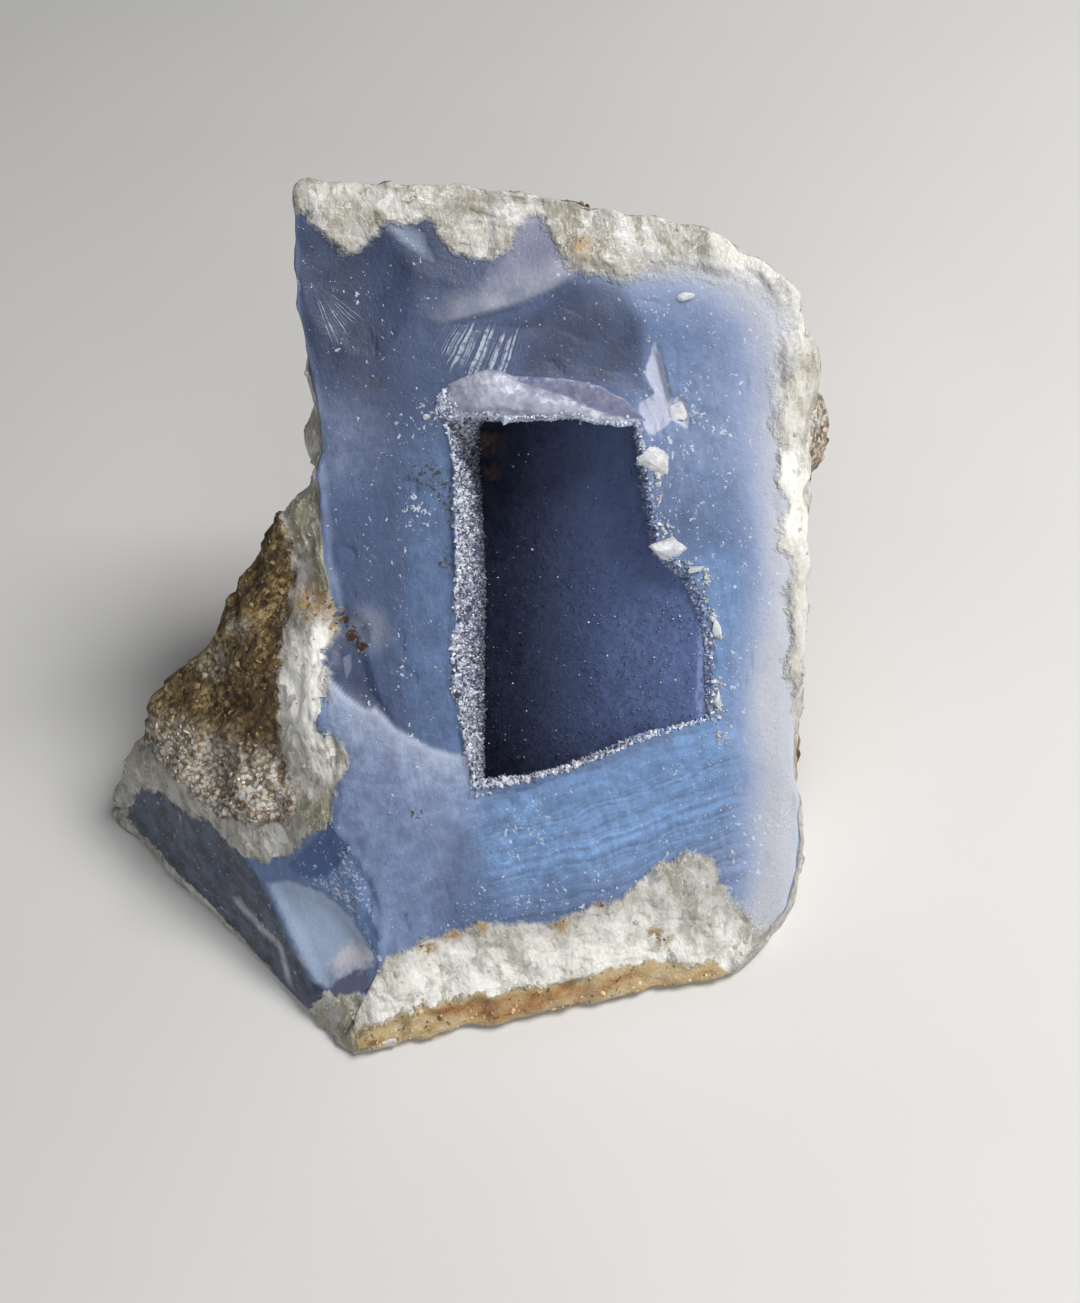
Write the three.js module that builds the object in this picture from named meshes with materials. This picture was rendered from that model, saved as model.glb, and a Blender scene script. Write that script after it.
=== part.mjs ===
// A broken section of a blue lace agate nodule with a box-shaped hollow, millimetres, +Z up.
// The stone stands on its cut base with its broken face leaning back. Its origin is at the
// middle of the base of its box.
import * as THREE from 'three';
import { mergeVertices } from 'three/addons/utils/BufferGeometryUtils.js';

const { MathUtils, Plane, Vector2, Vector3 } = THREE;

// Driving dimensions
const FACE_LEAN = 38; // degrees that the broken face leans back from upright
const FACE_YAW = 4; // degrees that it turns to the left
const FACE_FOOT = new Vector3(0.6, -29.1, 0); // where the face's plane meets the ground
const HOLLOW_DEEP = 13; // depth of the crust's floor along the hollow's left wall
const HOLLOW_SHALLOW = 1.2; // and along its right edge
const HOLLOW_SPAN = 21.5; // from the deep side to the shallow side
const CRUST_WALL = 1.1; // thickness of the crust
const GAP = 0.45; // between the crust and the stone, across the radius
const BOX_CENTRE = new Vector3(-0.41, 2.49, 0); // middle of the base before it is moved to the origin

// Mesh steps: columns run round the face, rows run from the hollow's floor to the back
const STONE = { columns: 84, floor: 4, wall: 4, face: 11, side: 26 };
const CRUST = { columns: 56, floor: 4, wall: 4 };

// The face's own frame: u to the right, v up the slope, w out of the face
const lean = MathUtils.degToRad(FACE_LEAN);
const yaw = MathUtils.degToRad(FACE_YAW);
const faceOut = new Vector3(
  -Math.sin(yaw) * Math.cos(lean), -Math.cos(yaw) * Math.cos(lean), Math.sin(lean));
const faceRight = new Vector3(Math.cos(yaw), -Math.sin(yaw), 0);
const faceUp = new Vector3().crossVectors(faceOut, faceRight);

function onFace(u, v, w = 0) {
  return FACE_FOOT.clone().addScaledVector(faceRight, u).addScaledVector(faceUp, v)
    .addScaledVector(faceOut, w);
}

// Outlines on the face, counterclockwise, as (u, v) in millimetres
const outline = [
  [-20.6, 2.8], [-10, 4.4], [0, 4.8], [8, 5.6], [15, 4.2], [19, 4.2], [22.5, 5.6], [26, 8.5], [28, 13],
  [29, 20], [30.5, 30], [34, 42], [36, 54], [38, 62], [38.5, 70], [36, 73.5], [33, 76], [30, 78],
  [20, 82], [10, 85.8], [0, 88.4], [-5.7, 89.4], [-6.7, 85.5], [-8.2, 79], [-8.3, 70], [-9.5, 64],
  [-10.8, 54], [-10.8, 48.5], [-13.2, 45.5], [-14.5, 40], [-15, 35], [-16.5, 28], [-15, 24],
  [-14.4, 18], [-14.4, 13.5], [-18, 9.5], [-21.3, 6.8],
].map(([u, v]) => new Vector2(u, v));
const sharpCorners = [[-5.7, 89.4], [-20.6, 2.8], [-21.3, 6.8], [36, 73.5], [19, 4.2]];
const mouth = [
  [-1.9, 29.2], [3, 28.8], [7, 28.9], [15, 30.6], [22.2, 31.2], [23.8, 39], [23, 45.5],
  [20.5, 49], [20.6, 61.6], [14, 63.4], [6.2, 64.9], [3.2, 65.5], [3.2, 60], [1, 50], [-1.5, 40],
].map(([u, v]) => new Vector2(u, v));
const mouthCorners = [[-1.9, 29.2], [22.2, 31.2], [20.6, 61.6], [3.2, 65.5]];
const crustEdge = [
  [-2.9, 28.2], [3, 27.8], [7, 28], [15, 29.6], [23, 30.2], [24.8, 39], [24, 45.8], [21.7, 49.4],
  [21.8, 62.6], [14, 66.6], [8.5, 68.9], [2.4, 68], [2.2, 60], [0, 50], [-2.5, 40],
].map(([u, v]) => new Vector2(u, v));
const floorEdge = [
  [-1.2, 29.4], [3, 28.8], [7, 28.9], [15, 30.6], [22.2, 31.2], [23.8, 39], [23, 45.5],
  [20.5, 49], [20.6, 61.6], [14, 63.4], [6.2, 64.7], [5.2, 60], [3.5, 50], [1.2, 40],
].map(([u, v]) => new Vector2(u, v));
const hollowCentre = new Vector2(11.5, 46.5);
const hollowApex = new Vector3(9.5, -104, 165); // the hollow widens inwards, away from this point

// Faces of the broken stone as planes, each with its outward normal and a point that it holds
function facet(normal, point) {
  return new Plane().setFromNormalAndCoplanarPoint(
    new Vector3(...normal).normalize(), new Vector3(...point));
}
const BLOCK = {
  front: new Plane().setFromNormalAndCoplanarPoint(faceOut, onFace(0, 0, 0.9)),
  back: facet([0.25, 0.96, 0.08], [0, 32.5, 0]),
  backRight: facet([0.72, 0.68, 0.12], [39, 15, 30]),
  right: facet([0.955, -0.28, -0.08], [41.9, 9.4, 52.8]),
  upperRight: facet([0.65, 0.42, 0.63], [39.5, 13.5, 58]),
  top: facet([0.354, 0.625, 0.694], [16, 22, 66]),
  frontSkin: facet([-0.065, -0.99, -0.12], [0, -27.2, 0]),
  frontCorner: facet([0.743, -0.669, 0], [25.4, -24.6, 0]),
  base: facet([0, 0, -1], [0, 0, 0]),
};
// To the left, the block's own side stands up out of a wedge that runs out to the tip
const upperLeft = facet([-0.965, 0.25, 0.04], [-4.4, 13, 53.5]);
const WEDGE = {
  flank: facet([-0.716, -0.359, 0.598], [-5.1, 12.5, 52.7]),
  cornerFacet: facet([-0.565, -0.597, 0.57], [-21, -25, 0]),
  leftFacet: facet([-0.791, -0.507, 0.342], [-35.3, -2, 0]),
  tip: facet([-0.97, 0.24, 0], [-44.2, 13, 0]),
  backLeft: facet([-0.369, 0.864, 0.356], [-22.1, 11.4, 31.6]),
};
const SKIN = ['flank', 'backLeft', 'back', 'backRight', 'right', 'upperLeft', 'top'];
const core = new Vector3(6, 5, 22); // inside the stone, where every facet is seen from
const backPole = new Vector3(0.05, 0.85, -0.45).normalize();
const EDGE_ROUND = 0.35; // how softly two facets meet
const OUTLINE_FADE = 4.5; // how far behind the outline the facets take over
const LEVEL = 0.35; // anything lower than this is on the base

// Lumps and dents: a point, a radius and a height along the surface
const lumps = [
  { at: new Vector3(42.5, 11.5, 38.5), radius: 8, height: 2.6 }, // knob behind the right edge
  { at: new Vector3(-14.5, -4.5, 31.5), radius: 5, height: 1.3 }, // quartz beside the face
  { at: new Vector3(-19.4, -9.5, 22.5), radius: 4.5, height: 1.4 },
  { at: new Vector3(-12.2, 1.5, 38), radius: 4, height: 1.0 },
  { at: new Vector3(-18.5, -17, 12), radius: 6, height: -0.9 }, // scooped facet at the corner
  { at: new Vector3(-23.5, -4, 21), radius: 4, height: 0.9 },
  { at: new Vector3(-32, 7, 20), radius: 8, height: 1.3 }, // rough skin of the flank
  { at: new Vector3(-18, 6, 33), radius: 6, height: 0.8 },
  { at: new Vector3(-26, 1.5, 21.5), radius: 4, height: -1.2 },
  { at: new Vector3(-12, 5, 42), radius: 4, height: -0.8 },
  { at: new Vector3(10, 31, 38), radius: 15, height: 2.4 }, // the hidden back
  { at: new Vector3(-12, 27, 16), radius: 11, height: 2.2 },
  { at: new Vector3(27, 23, 18), radius: 12, height: -1.8 },
  { at: new Vector3(8, 31, 8), radius: 9, height: -1.4 },
];

// Smooth value noise from -1 to 1 on a lattice of cells of the given size
function lattice(x, y, z) {
  const wave = Math.sin(x * 127.1 + y * 311.7 + z * 74.7) * 43758.5453;
  return (wave - Math.floor(wave)) * 2 - 1;
}
function noise(point, cell) {
  const corner = point.clone().divideScalar(cell).floor();
  const inside = point.clone().divideScalar(cell).sub(corner);
  const ease = (value) => value * value * (3 - 2 * value);
  const [a, b, c] = inside.toArray().map(ease);
  let total = 0;
  for (const [i, j, k] of [0, 1, 2, 3, 4, 5, 6, 7].map((n) => [n & 1, (n >> 1) & 1, n >> 2])) {
    const weight = (i ? a : 1 - a) * (j ? b : 1 - b) * (k ? c : 1 - c);
    total += weight * lattice(corner.x + i, corner.y + j, corner.z + k);
  }
  return total;
}

// Distance from the hollow's centre to an outline, at an angle about the centre
function reach(polygon, angle) {
  const ray = new Vector2(Math.cos(angle), Math.sin(angle));
  for (let i = 0; i < polygon.length; i += 1) {
    const start = polygon[i].clone().sub(hollowCentre);
    const edge = polygon[(i + 1) % polygon.length].clone().sub(hollowCentre).sub(start);
    const across = ray.cross(edge);
    const distance = start.cross(edge) / across;
    const along = start.cross(ray) / across;
    if (distance > 0 && along >= 0 && along < 1) return distance;
  }
  throw new Error('the outline does not go round the centre of the hollow');
}

// Angles about the hollow's centre that step evenly along the outline, with one on each of the
// given corners
function evenAngles(count, polygon, corners) {
  const steps = 1440;
  const points = Array.from({ length: steps + 1 }, (_, i) => {
    const angle = (i / steps) * 2 * Math.PI;
    return new Vector2(Math.cos(angle), Math.sin(angle)).multiplyScalar(reach(polygon, angle));
  });
  const lengths = [0];
  for (let i = 1; i <= steps; i += 1) {
    lengths.push(lengths[i - 1] + points[i].distanceTo(points[i - 1]));
  }
  const angles = Array.from({ length: count }, (_, i) => {
    const wanted = (i / count) * lengths[steps];
    const after = lengths.findIndex((length) => length > wanted);
    const part = (wanted - lengths[after - 1]) / (lengths[after] - lengths[after - 1]);
    return ((after - 1 + part) / steps) * 2 * Math.PI;
  });
  for (const [u, v] of corners) {
    const angle = (Math.atan2(v - hollowCentre.y, u - hollowCentre.x) + 2 * Math.PI) % (2 * Math.PI);
    const away = angles.map((other) => Math.abs(other - angle));
    angles[away.indexOf(Math.min(...away))] = angle;
  }
  return angles;
}

// Points along a dense run of points, without its first point: some of them stand on the places
// where the run passes from one facet to the next, and the rest are spaced evenly between those.
// Each is marked with its facet and with whether it stands on such a crease.
function stepsAlong({ points, facets }, count) {
  const lengths = [0];
  for (let i = 1; i < points.length; i += 1) {
    lengths.push(lengths[i - 1] + points[i].distanceTo(points[i - 1]));
  }
  const whole = lengths[points.length - 1];
  const stops = [{ step: 0, length: 0 }];
  for (let i = 2; i < points.length - 1; i += 1) {
    const step = Math.round((lengths[i] / whole) * count);
    const last = stops[stops.length - 1];
    if (facets[i] !== facets[i - 1] && step > last.step && step < count) {
      stops.push({ step, length: (lengths[i] + lengths[i - 1]) / 2 });
    }
  }
  stops.push({ step: count, length: whole });
  return Array.from({ length: count }, (_, i) => {
    const next = stops.findIndex((stop) => stop.step >= i + 1);
    const [from, to] = [stops[next - 1], stops[next]];
    const wanted = MathUtils.mapLinear(i + 1, from.step, to.step, from.length, to.length);
    const after = Math.max(1, lengths.findIndex((length) => length >= wanted - 1e-9));
    const part = (wanted - lengths[after - 1]) / (lengths[after] - lengths[after - 1]);
    const point = points[after - 1].clone().lerp(points[after], Math.min(part, 1));
    return Object.assign(point, { onCrease: to.step === i + 1, facetName: facets[after] });
  });
}

// Distance from the core to a facet along a ray
function distanceTo(plane, direction) {
  const facing = plane.normal.dot(direction);
  return facing > 1e-6 ? -plane.distanceToPoint(core) / facing : Infinity;
}

// Where a ray from the core leaves the stone: the softly rounded least of the block's facets and
// of its left side, which is the further of the upper left facet and the wedge
function leave(direction) {
  const hits = Object.entries(BLOCK).map(([name, plane]) => [distanceTo(plane, direction), name]);
  const wedge = Object.entries(WEDGE).map(([name, plane]) => [distanceTo(plane, direction), name])
    .reduce((near, hit) => (hit[0] < near[0] ? hit : near));
  const side = [distanceTo(upperLeft, direction), 'upperLeft'];
  hits.push(wedge[0] > side[0] ? wedge : side);
  const [least, facetName] = hits.reduce((near, hit) => (hit[0] < near[0] ? hit : near));
  const sum = hits.reduce((total, [hit]) => total + Math.exp((least - hit) / EDGE_ROUND), 0);
  return { distance: least - EDGE_ROUND * Math.log(sum), facetName };
}

// How much of the surface at a point belongs to the named facets, from 0 to 1
function share(point, names) {
  const direction = point.clone().sub(core).normalize();
  const { distance } = leave(direction);
  let part = 0;
  let total = 1e-9;
  for (const [name, plane] of Object.entries({ ...BLOCK, ...WEDGE, upperLeft })) {
    const weight = Math.exp(-Math.abs(distanceTo(plane, direction) - distance));
    total += weight;
    if (names.includes(name)) part += weight;
  }
  return part / total;
}

// The side of the stone behind one point of the outline: a run of points to the back pole, and
// the facet that each is on
function sideRun(edge, steps) {
  const start = edge.clone().sub(core);
  const first = start.clone().normalize();
  const stretch = start.length() / leave(first).distance - 1;
  const turn = first.angleTo(backPole);
  const run = { points: [], facets: [] };
  for (let i = 0; i <= steps; i += 1) {
    const angle = (i / steps) * turn;
    const direction = first.clone().multiplyScalar(Math.sin(turn - angle))
      .addScaledVector(backPole, Math.sin(angle)).normalize();
    const { distance, facetName } = leave(direction);
    const point = core.clone().addScaledVector(direction, distance);
    const fade = Math.exp(-point.distanceTo(edge) / OUTLINE_FADE);
    run.points.push(point.addScaledVector(direction, distance * stretch * fade));
    run.facets.push(facetName);
  }
  return run;
}

// Height of the broken face above its plane at (u, v)
const smooth = MathUtils.smoothstep;
function scoop(u, v, centreU, centreV, radiusU, radiusV, depth) {
  const away = ((u - centreU) / radiusU) ** 2 + ((v - centreV) / radiusV) ** 2;
  return away < 1 ? -depth * (1 - away) : 0;
}
function relief(u, v) {
  const waves = 0.3 * noise(new Vector3(u, v, 3), 14);
  const above = 0.755 * (u + 13.3) + 0.656 * (v - 46); // distance above the fracture step
  const lower = 0.8 * (1 - smooth(above, -0.6, 0.6)) * smooth(above, -14, -2)
    * (1 - smooth(u, -8, -2));
  const rindTop = -1.3 * smooth(v + 0.36 * u, 83.5, 90.5);
  const rindFoot = -1.1 * (1 - smooth(v, 4, 15));
  const rightEdge = -0.9 * smooth(u - 0.17 * v, 23.5, 28);
  return waves + lower + rindTop + rindFoot + rightEdge
    + scoop(u, v, 12, 80.5, 9, 5.5, 1.2)
    + scoop(u, v, -12, 46, 4.5, 4, 1.3)
    + scoop(u, v, -2, 79, 5, 6, 0.7)
    + scoop(u, v, 27, 66, 7, 9, 0.6)
    + scoop(u, v, 17, 21, 12, 7, 0.5);
}

// Roughness of the quartz rind along the top, right and foot of the face
function rind(u, v) {
  const inside = Math.max(
    smooth(v + 0.36 * u, 79, 82), smooth(u - 0.12 * v, 27.5, 29), 1 - smooth(v, 12, 15));
  return inside * (0.55 * noise(new Vector3(u, v, 9), 4) + 0.3 * noise(new Vector3(u, v, 5), 2.2));
}

// A closed surface from rows of points: the first and last rows are single points. It is a
// sphere whose rings are moved to the rows, with each four-sided cell split along the diagonal
// that joins two points of a crease, where it has one. From the given row on, the other cells are
// split along the diagonal that stands further out, or further in where they cross the valley
// between the block and the wedge.
function closedGrid(rows, outsideFrom = Infinity) {
  const columns = rows[1].length;
  const geometry = new THREE.SphereGeometry(1, columns, rows.length - 1);
  const { position } = geometry.attributes;
  const marks = [];
  rows.forEach((row, j) => {
    for (let i = 0; i <= columns; i += 1) {
      const point = row.length === 1 ? row[0] : row[i % columns];
      position.setXYZ(j * (columns + 1) + i, point.x, point.y, point.z);
      marks.push(point);
    }
  });
  const { index } = geometry;
  for (let k = 3 * columns; k < index.count - 3 * columns; k += 6) {
    const cell = [0, 1, 4, 5].map((offset) => index.getX(k + offset));
    const [right, left, lowLeft, lowRight] = cell;
    const [a, b, c, d] = cell.map((id) => new Vector3().fromBufferAttribute(position, id));
    const facets = cell.map((id) => marks[id].facetName);
    const valley = facets.includes('upperLeft') && facets.some((name) => name in WEDGE);
    const outward = b.clone().sub(a).cross(d.clone().sub(a));
    const further = a.clone().add(c).sub(b).sub(d).dot(outward) > 0;
    const outside = k >= 3 * columns + (outsideFrom - 1) * 6 * columns;
    const asMade = marks[left].onCrease && marks[lowRight].onCrease;
    const crossing = marks[right].onCrease && marks[lowLeft].onCrease;
    if (asMade === crossing ? outside && further !== valley : crossing) {
      [right, left, lowLeft, right, lowLeft, lowRight].forEach(
        (id, offset) => index.setX(k + offset, id));
    }
  }
  geometry.deleteAttribute('normal');
  geometry.deleteAttribute('uv');
  const merged = mergeVertices(geometry, 1e-5);
  merged.translate(-BOX_CENTRE.x, -BOX_CENTRE.y, 0);
  merged.computeVertexNormals();
  return merged;
}

// Outward normal at each point of the rows, from the neighbours along and across
function rowNormals(rows) {
  return rows.map((row, j) => row.map((point, i) => {
    if (row.length === 1) return new Vector3();
    const pick = (other, k) => (other.length === 1 ? other[0] : other[(k + row.length) % row.length]);
    const along = pick(row, i + 1).clone().sub(pick(row, i - 1));
    const across = pick(rows[j + 1], i).clone().sub(pick(rows[j - 1], i));
    return new Vector3().crossVectors(across, along).normalize();
  }));
}

// The point at a radius and an angle about the hollow's centre, as (u, v)
function around(radius, angle) {
  return [hollowCentre.x + radius * Math.cos(angle), hollowCentre.y + radius * Math.sin(angle)];
}

// The crust's floor under a point of the mouth, or a surface further in behind it. The floor is
// a plane that falls from the right edge to the deep corner along the left wall.
function floorPoint(radius, angle, further = 0) {
  const [u, v] = around(radius, angle);
  const deepLine = -1.2 + 0.21 * (v - 29.4);
  const across = MathUtils.clamp((u - deepLine) / HOLLOW_SPAN, 0, 1);
  const depth = MathUtils.lerp(HOLLOW_DEEP, HOLLOW_SHALLOW, across) + further;
  const point = onFace(u, v);
  return point.addScaledVector(point.clone().sub(hollowApex).normalize(), depth);
}

function makeStone() {
  const angles = evenAngles(STONE.columns, outline, sharpCorners);
  const rim = angles.map((angle) => reach(crustEdge, angle) + GAP);
  const bottom = angles.map((angle) => reach(floorEdge, angle) + CRUST_WALL + GAP);
  const further = CRUST_WALL + GAP;
  const rows = [[floorPoint(0, 0, further)]];
  for (let j = 1; j <= STONE.floor; j += 1) {
    rows.push(angles.map((angle, i) => floorPoint((bottom[i] * j) / STONE.floor, angle, further)));
  }
  const floor = rows[STONE.floor];
  for (let j = 1; j <= STONE.wall; j += 1) {
    rows.push(angles.map((angle, i) => floor[i].clone()
      .lerp(onFace(...around(rim[i], angle)), j / STONE.wall)));
  }
  for (let j = 1; j <= STONE.face; j += 1) {
    const part = j / STONE.face;
    rows.push(angles.map((angle, i) => {
      const radius = rim[i] + (reach(outline, angle) - rim[i]) * part;
      const u = hollowCentre.x + radius * Math.cos(angle);
      const v = hollowCentre.y + radius * Math.sin(angle);
      return onFace(u, v, relief(u, v) * smooth(part, 0, 0.25) + rind(u, v) * (part < 1 ? 1 : 0.5));
    }));
  }
  const edge = rows[rows.length - 1];
  const runs = edge.map((point) => stepsAlong(sideRun(point, 240), STONE.side));
  for (let j = 0; j < STONE.side - 1; j += 1) {
    rows.push(runs.map((run) => run[j]));
  }
  rows.push([runs[0][STONE.side - 1]]);
  const firstBehind = 1 + STONE.floor + STONE.wall + STONE.face;
  roughen(rows, firstBehind);
  return closedGrid(rows, firstBehind - 1);
}

// Lumps, dents and rough skin on the rows behind the face, then a level base
function roughen(rows, firstRow) {
  const normals = rowNormals(rows);
  const moved = rows.map((row) => row.map((point) => Object.assign(
    point.clone(), { onCrease: point.onCrease, facetName: point.facetName })));
  for (let j = firstRow; j < rows.length - 1; j += 1) {
    const ramp = Math.min(1, (j - firstRow + 1) / 2);
    rows[j].forEach((point, i) => {
      let height = 0;
      for (const lump of lumps) {
        const away = point.distanceTo(lump.at) / lump.radius;
        if (away < 1) height += lump.height * (1 - away * away) ** 2;
      }
      const skin = share(point, SKIN);
      const base = share(point, ['base']);
      height += skin * (0.75 * noise(point, 7) + 0.4 * noise(point, 3.4));
      height += (1 - skin) * 0.25 * noise(point, 6);
      moved[j][i].addScaledVector(normals[j][i], height * ramp * (1 - base));
      if (moved[j][i].z < LEVEL) moved[j][i].z = 0;
    });
  }
  moved.forEach((row, j) => rows.splice(j, 1, row));
}

// The crust: its own floor and wall, a lip on the face, then its back against the stone
function makeCrust() {
  const angles = evenAngles(CRUST.columns, mouth, mouthCorners);
  const inner = angles.map((angle) => reach(mouth, angle));
  const outer = angles.map((angle) => reach(crustEdge, angle));
  const bottom = angles.map((angle) => reach(floorEdge, angle));
  const lip = angles.map((angle) => 0.3 + 1.2 * smooth(Math.sin(angle), 0.55, 0.95));
  const ring = (radius, height) => angles.map(
    (angle, i) => onFace(...around(radius[i], angle), height[i]));
  const between = (low, high, part) => low.map((point, i) => point.clone().lerp(high[i], part));
  const rows = [[floorPoint(0, 0)]];
  for (let j = 1; j <= CRUST.floor; j += 1) {
    rows.push(angles.map((angle, i) => floorPoint((bottom[i] * j) / CRUST.floor, angle)));
  }
  const floor = rows[CRUST.floor];
  const edge = ring(inner, lip.map(() => -0.1));
  for (let j = 1; j <= CRUST.wall; j += 1) rows.push(between(floor, edge, j / CRUST.wall));
  rows.push(ring(inner.map((radius, i) => (radius + outer[i]) / 2), lip));
  const back = ring(outer, lip.map((height) => 0.2 * height));
  const under = angles.map((angle, i) => floorPoint(bottom[i] + CRUST_WALL, angle, CRUST_WALL));
  for (let j = 0; j <= CRUST.wall; j += 1) rows.push(between(back, under, j / CRUST.wall));
  for (let j = 2; j >= 1; j -= 1) {
    rows.push(angles.map((angle, i) => floorPoint(
      ((bottom[i] + CRUST_WALL) * j) / 3, angle, CRUST_WALL)));
  }
  rows.push([floorPoint(0, 0, CRUST_WALL)]);
  return closedGrid(rows);
}

const agate = new THREE.Mesh(
  makeStone(), new THREE.MeshStandardMaterial({ color: 0x6c86b8, roughness: 0.45, metalness: 0 }));
agate.name = 'agate';

const crust = new THREE.Mesh(
  makeCrust(), new THREE.MeshStandardMaterial({ color: 0xa9b4d2, roughness: 0.3, metalness: 0 }));
crust.name = 'druse_crust';

const specimen = new THREE.Group();
specimen.add(agate, crust);

export default specimen;
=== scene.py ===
"""A broken section of a blue lace agate nodule that stands on its cut base.

Sizes are millimetres until a mesh is made, which is in metres, +Z up, in the part's own frame.
"""

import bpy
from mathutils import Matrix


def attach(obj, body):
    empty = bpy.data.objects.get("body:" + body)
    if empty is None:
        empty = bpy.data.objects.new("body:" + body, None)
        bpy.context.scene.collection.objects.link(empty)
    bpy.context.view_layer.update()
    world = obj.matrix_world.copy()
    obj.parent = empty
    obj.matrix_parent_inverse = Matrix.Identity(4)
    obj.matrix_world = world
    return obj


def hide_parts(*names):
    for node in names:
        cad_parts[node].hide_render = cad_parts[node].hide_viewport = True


bl_info = {
    "name": "Blue lace agate specimen",
    "version": (1, 0, 0),
    "blender": (4, 5, 0),
    "location": "3D View > Sidebar > Agate",
    "description": "A banded agate with a druse-lined hollow, a quartz rind and a rough skin",
    "category": "Add Mesh",
}

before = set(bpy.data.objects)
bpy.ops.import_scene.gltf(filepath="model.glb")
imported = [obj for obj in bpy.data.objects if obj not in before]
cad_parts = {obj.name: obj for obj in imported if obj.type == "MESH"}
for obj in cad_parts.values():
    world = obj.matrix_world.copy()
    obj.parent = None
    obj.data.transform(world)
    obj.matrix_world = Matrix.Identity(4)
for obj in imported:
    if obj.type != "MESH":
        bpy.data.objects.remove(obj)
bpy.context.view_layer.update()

import math

import bpy
import numpy as np
from mathutils import Matrix, Vector

MM = 0.001  # metres in a millimetre

# The shape, in millimetres, as in the part's source, but for the shallow end, which is 1.2 there
FACE_LEAN = math.radians(38)
FACE_YAW = math.radians(4)
FACE_FOOT = np.array([1.01, -31.59, 0.0])  # where the broken face's plane meets the ground
HOLLOW_DEEP = 13.0
HOLLOW_SHALLOW = 0.5
HOLLOW_SPAN = 21.5
CRUST_WALL = 1.1
GAP = 0.45
ORIGIN_SHIFT = np.array([0.41, -2.49, 0.0])  # from the frame that the facets are given in

# The face's own frame: u to the right, v up the slope, w out of the face
FACE_OUT = np.array([
    -math.sin(FACE_YAW) * math.cos(FACE_LEAN), -math.cos(FACE_YAW) * math.cos(FACE_LEAN),
    math.sin(FACE_LEAN)])
FACE_RIGHT = np.array([math.cos(FACE_YAW), -math.sin(FACE_YAW), 0.0])
FACE_UP = np.cross(FACE_OUT, FACE_RIGHT)

# Camera: where it stands, how it is pitched and rolled, and its lens
EYE = np.array([9.91, -106.49, 165.0])
PITCH = math.radians(53)
ROLL = math.radians(-15)
LENS_MM = 46.97
SENSOR_MM = 36.0

# Outlines on the face, counterclockwise, as (u, v)
OUTLINE = np.array([
    [-20.6, 2.8], [-10, 4.4], [0, 4.8], [8, 5.6], [15, 4.2], [19, 4.2], [22.5, 5.6], [26, 8.5], [28, 13],
    [29, 20], [30.5, 30], [34, 42], [36, 54], [38, 62], [38.5, 70], [36, 73.5], [33, 76], [30, 78],
    [20, 82], [10, 85.8], [0, 88.4], [-5.7, 89.4], [-6.7, 85.5], [-8.2, 79], [-8.3, 70], [-9.5, 64],
    [-10.8, 54], [-10.8, 48.5], [-13.2, 45.5], [-14.5, 40], [-15, 35], [-16.5, 28], [-15, 24],
    [-14.9, 18], [-14.9, 13.6], [-18, 9.2], [-20.6, 5.6]])
SHARP_CORNERS = np.array([[-5.7, 89.4], [-20.6, 2.8], [-20.6, 5.6], [36, 73.5], [19, 4.2]])
MOUTH = np.array([
    [-1.9, 29.2], [3, 28.8], [7, 28.9], [15, 30.6], [22.2, 31.2], [23.8, 39], [23, 45.5],
    [20.5, 49], [20.6, 61.6], [14, 63.4], [6.2, 64.9], [3.2, 65.5], [3.2, 60], [1, 50], [-1.5, 40]])
MOUTH_CORNERS = np.array([[-1.9, 29.2], [22.2, 31.2], [20.6, 61.6], [3.2, 65.5]])
CRUST_EDGE = np.array([
    [-2.9, 28.2], [3, 27.8], [7, 28], [15, 29.6], [23, 30.2], [24.8, 39], [24, 45.8], [21.7, 49.4],
    [21.8, 62.6], [14, 66.6], [8.5, 68.9], [2.4, 68], [2.2, 60], [0, 50], [-2.5, 40]])
FLOOR_EDGE = np.concatenate([
    [[-1.2, 29.4]], MOUTH[1:10], [[6.2, 64.7], [5.2, 60], [3.5, 50], [1.2, 40]]])
HOLLOW_CENTRE = np.array([11.5, 46.5])

# Borders of the stone's zones as the camera sees them, projected onto the face, as (u, v)
RIND_LINE = np.array([
    [-9, 86.5], [-5, 86.5], [-4.7, 84.9], [-3.3, 83.2], [-2.1, 82.2], [0.1, 82.5], [1.1, 83.6],
    [3.3, 83.9], [6.1, 83.4], [6.4, 81.5], [7.5, 80], [10.1, 78.6], [12.4, 79.5], [13.5, 81],
    [15.2, 81.9], [16.4, 80.3], [16.9, 78.5], [17.2, 76.6], [19, 75.6], [22.2, 74.2], [24.4, 74.5],
    [28, 74.4], [31.2, 72.9], [34, 72], [36.3, 69], [36.3, 66.6], [34.6, 62.5], [33.5, 57.6],
    [34, 53.4], [33.2, 50], [31.8, 46.6], [32.8, 44.8], [31.7, 41.8], [31.3, 37.6], [30.2, 34.7],
    [30.6, 31.3], [30.4, 26.3], [31, 15]])
FOOT_LINE = np.array([
    [24.5, 4], [22.5, 9], [20.5, 12], [20, 15], [19, 17.2], [17, 17.5], [14, 16.7], [10, 14.3],
    [6, 13.8], [2, 13], [-5, 14.5], [-10, 14], [-13, 13.2], [-17, 12.6], [-18.5, 11.5], [-24, 9.5],
    [-30, 7]])
TAN_LINE = np.array([
    [21, 2], [18, 5.2], [15, 5.4], [11, 6.6], [8, 6.6], [3, 6.4], [-3, 6.4], [-8, 6.7], [-12, 7.1],
    [-15, 6.4], [-17.5, 5.2], [-21, 4.8], [-26, 3]])
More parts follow.
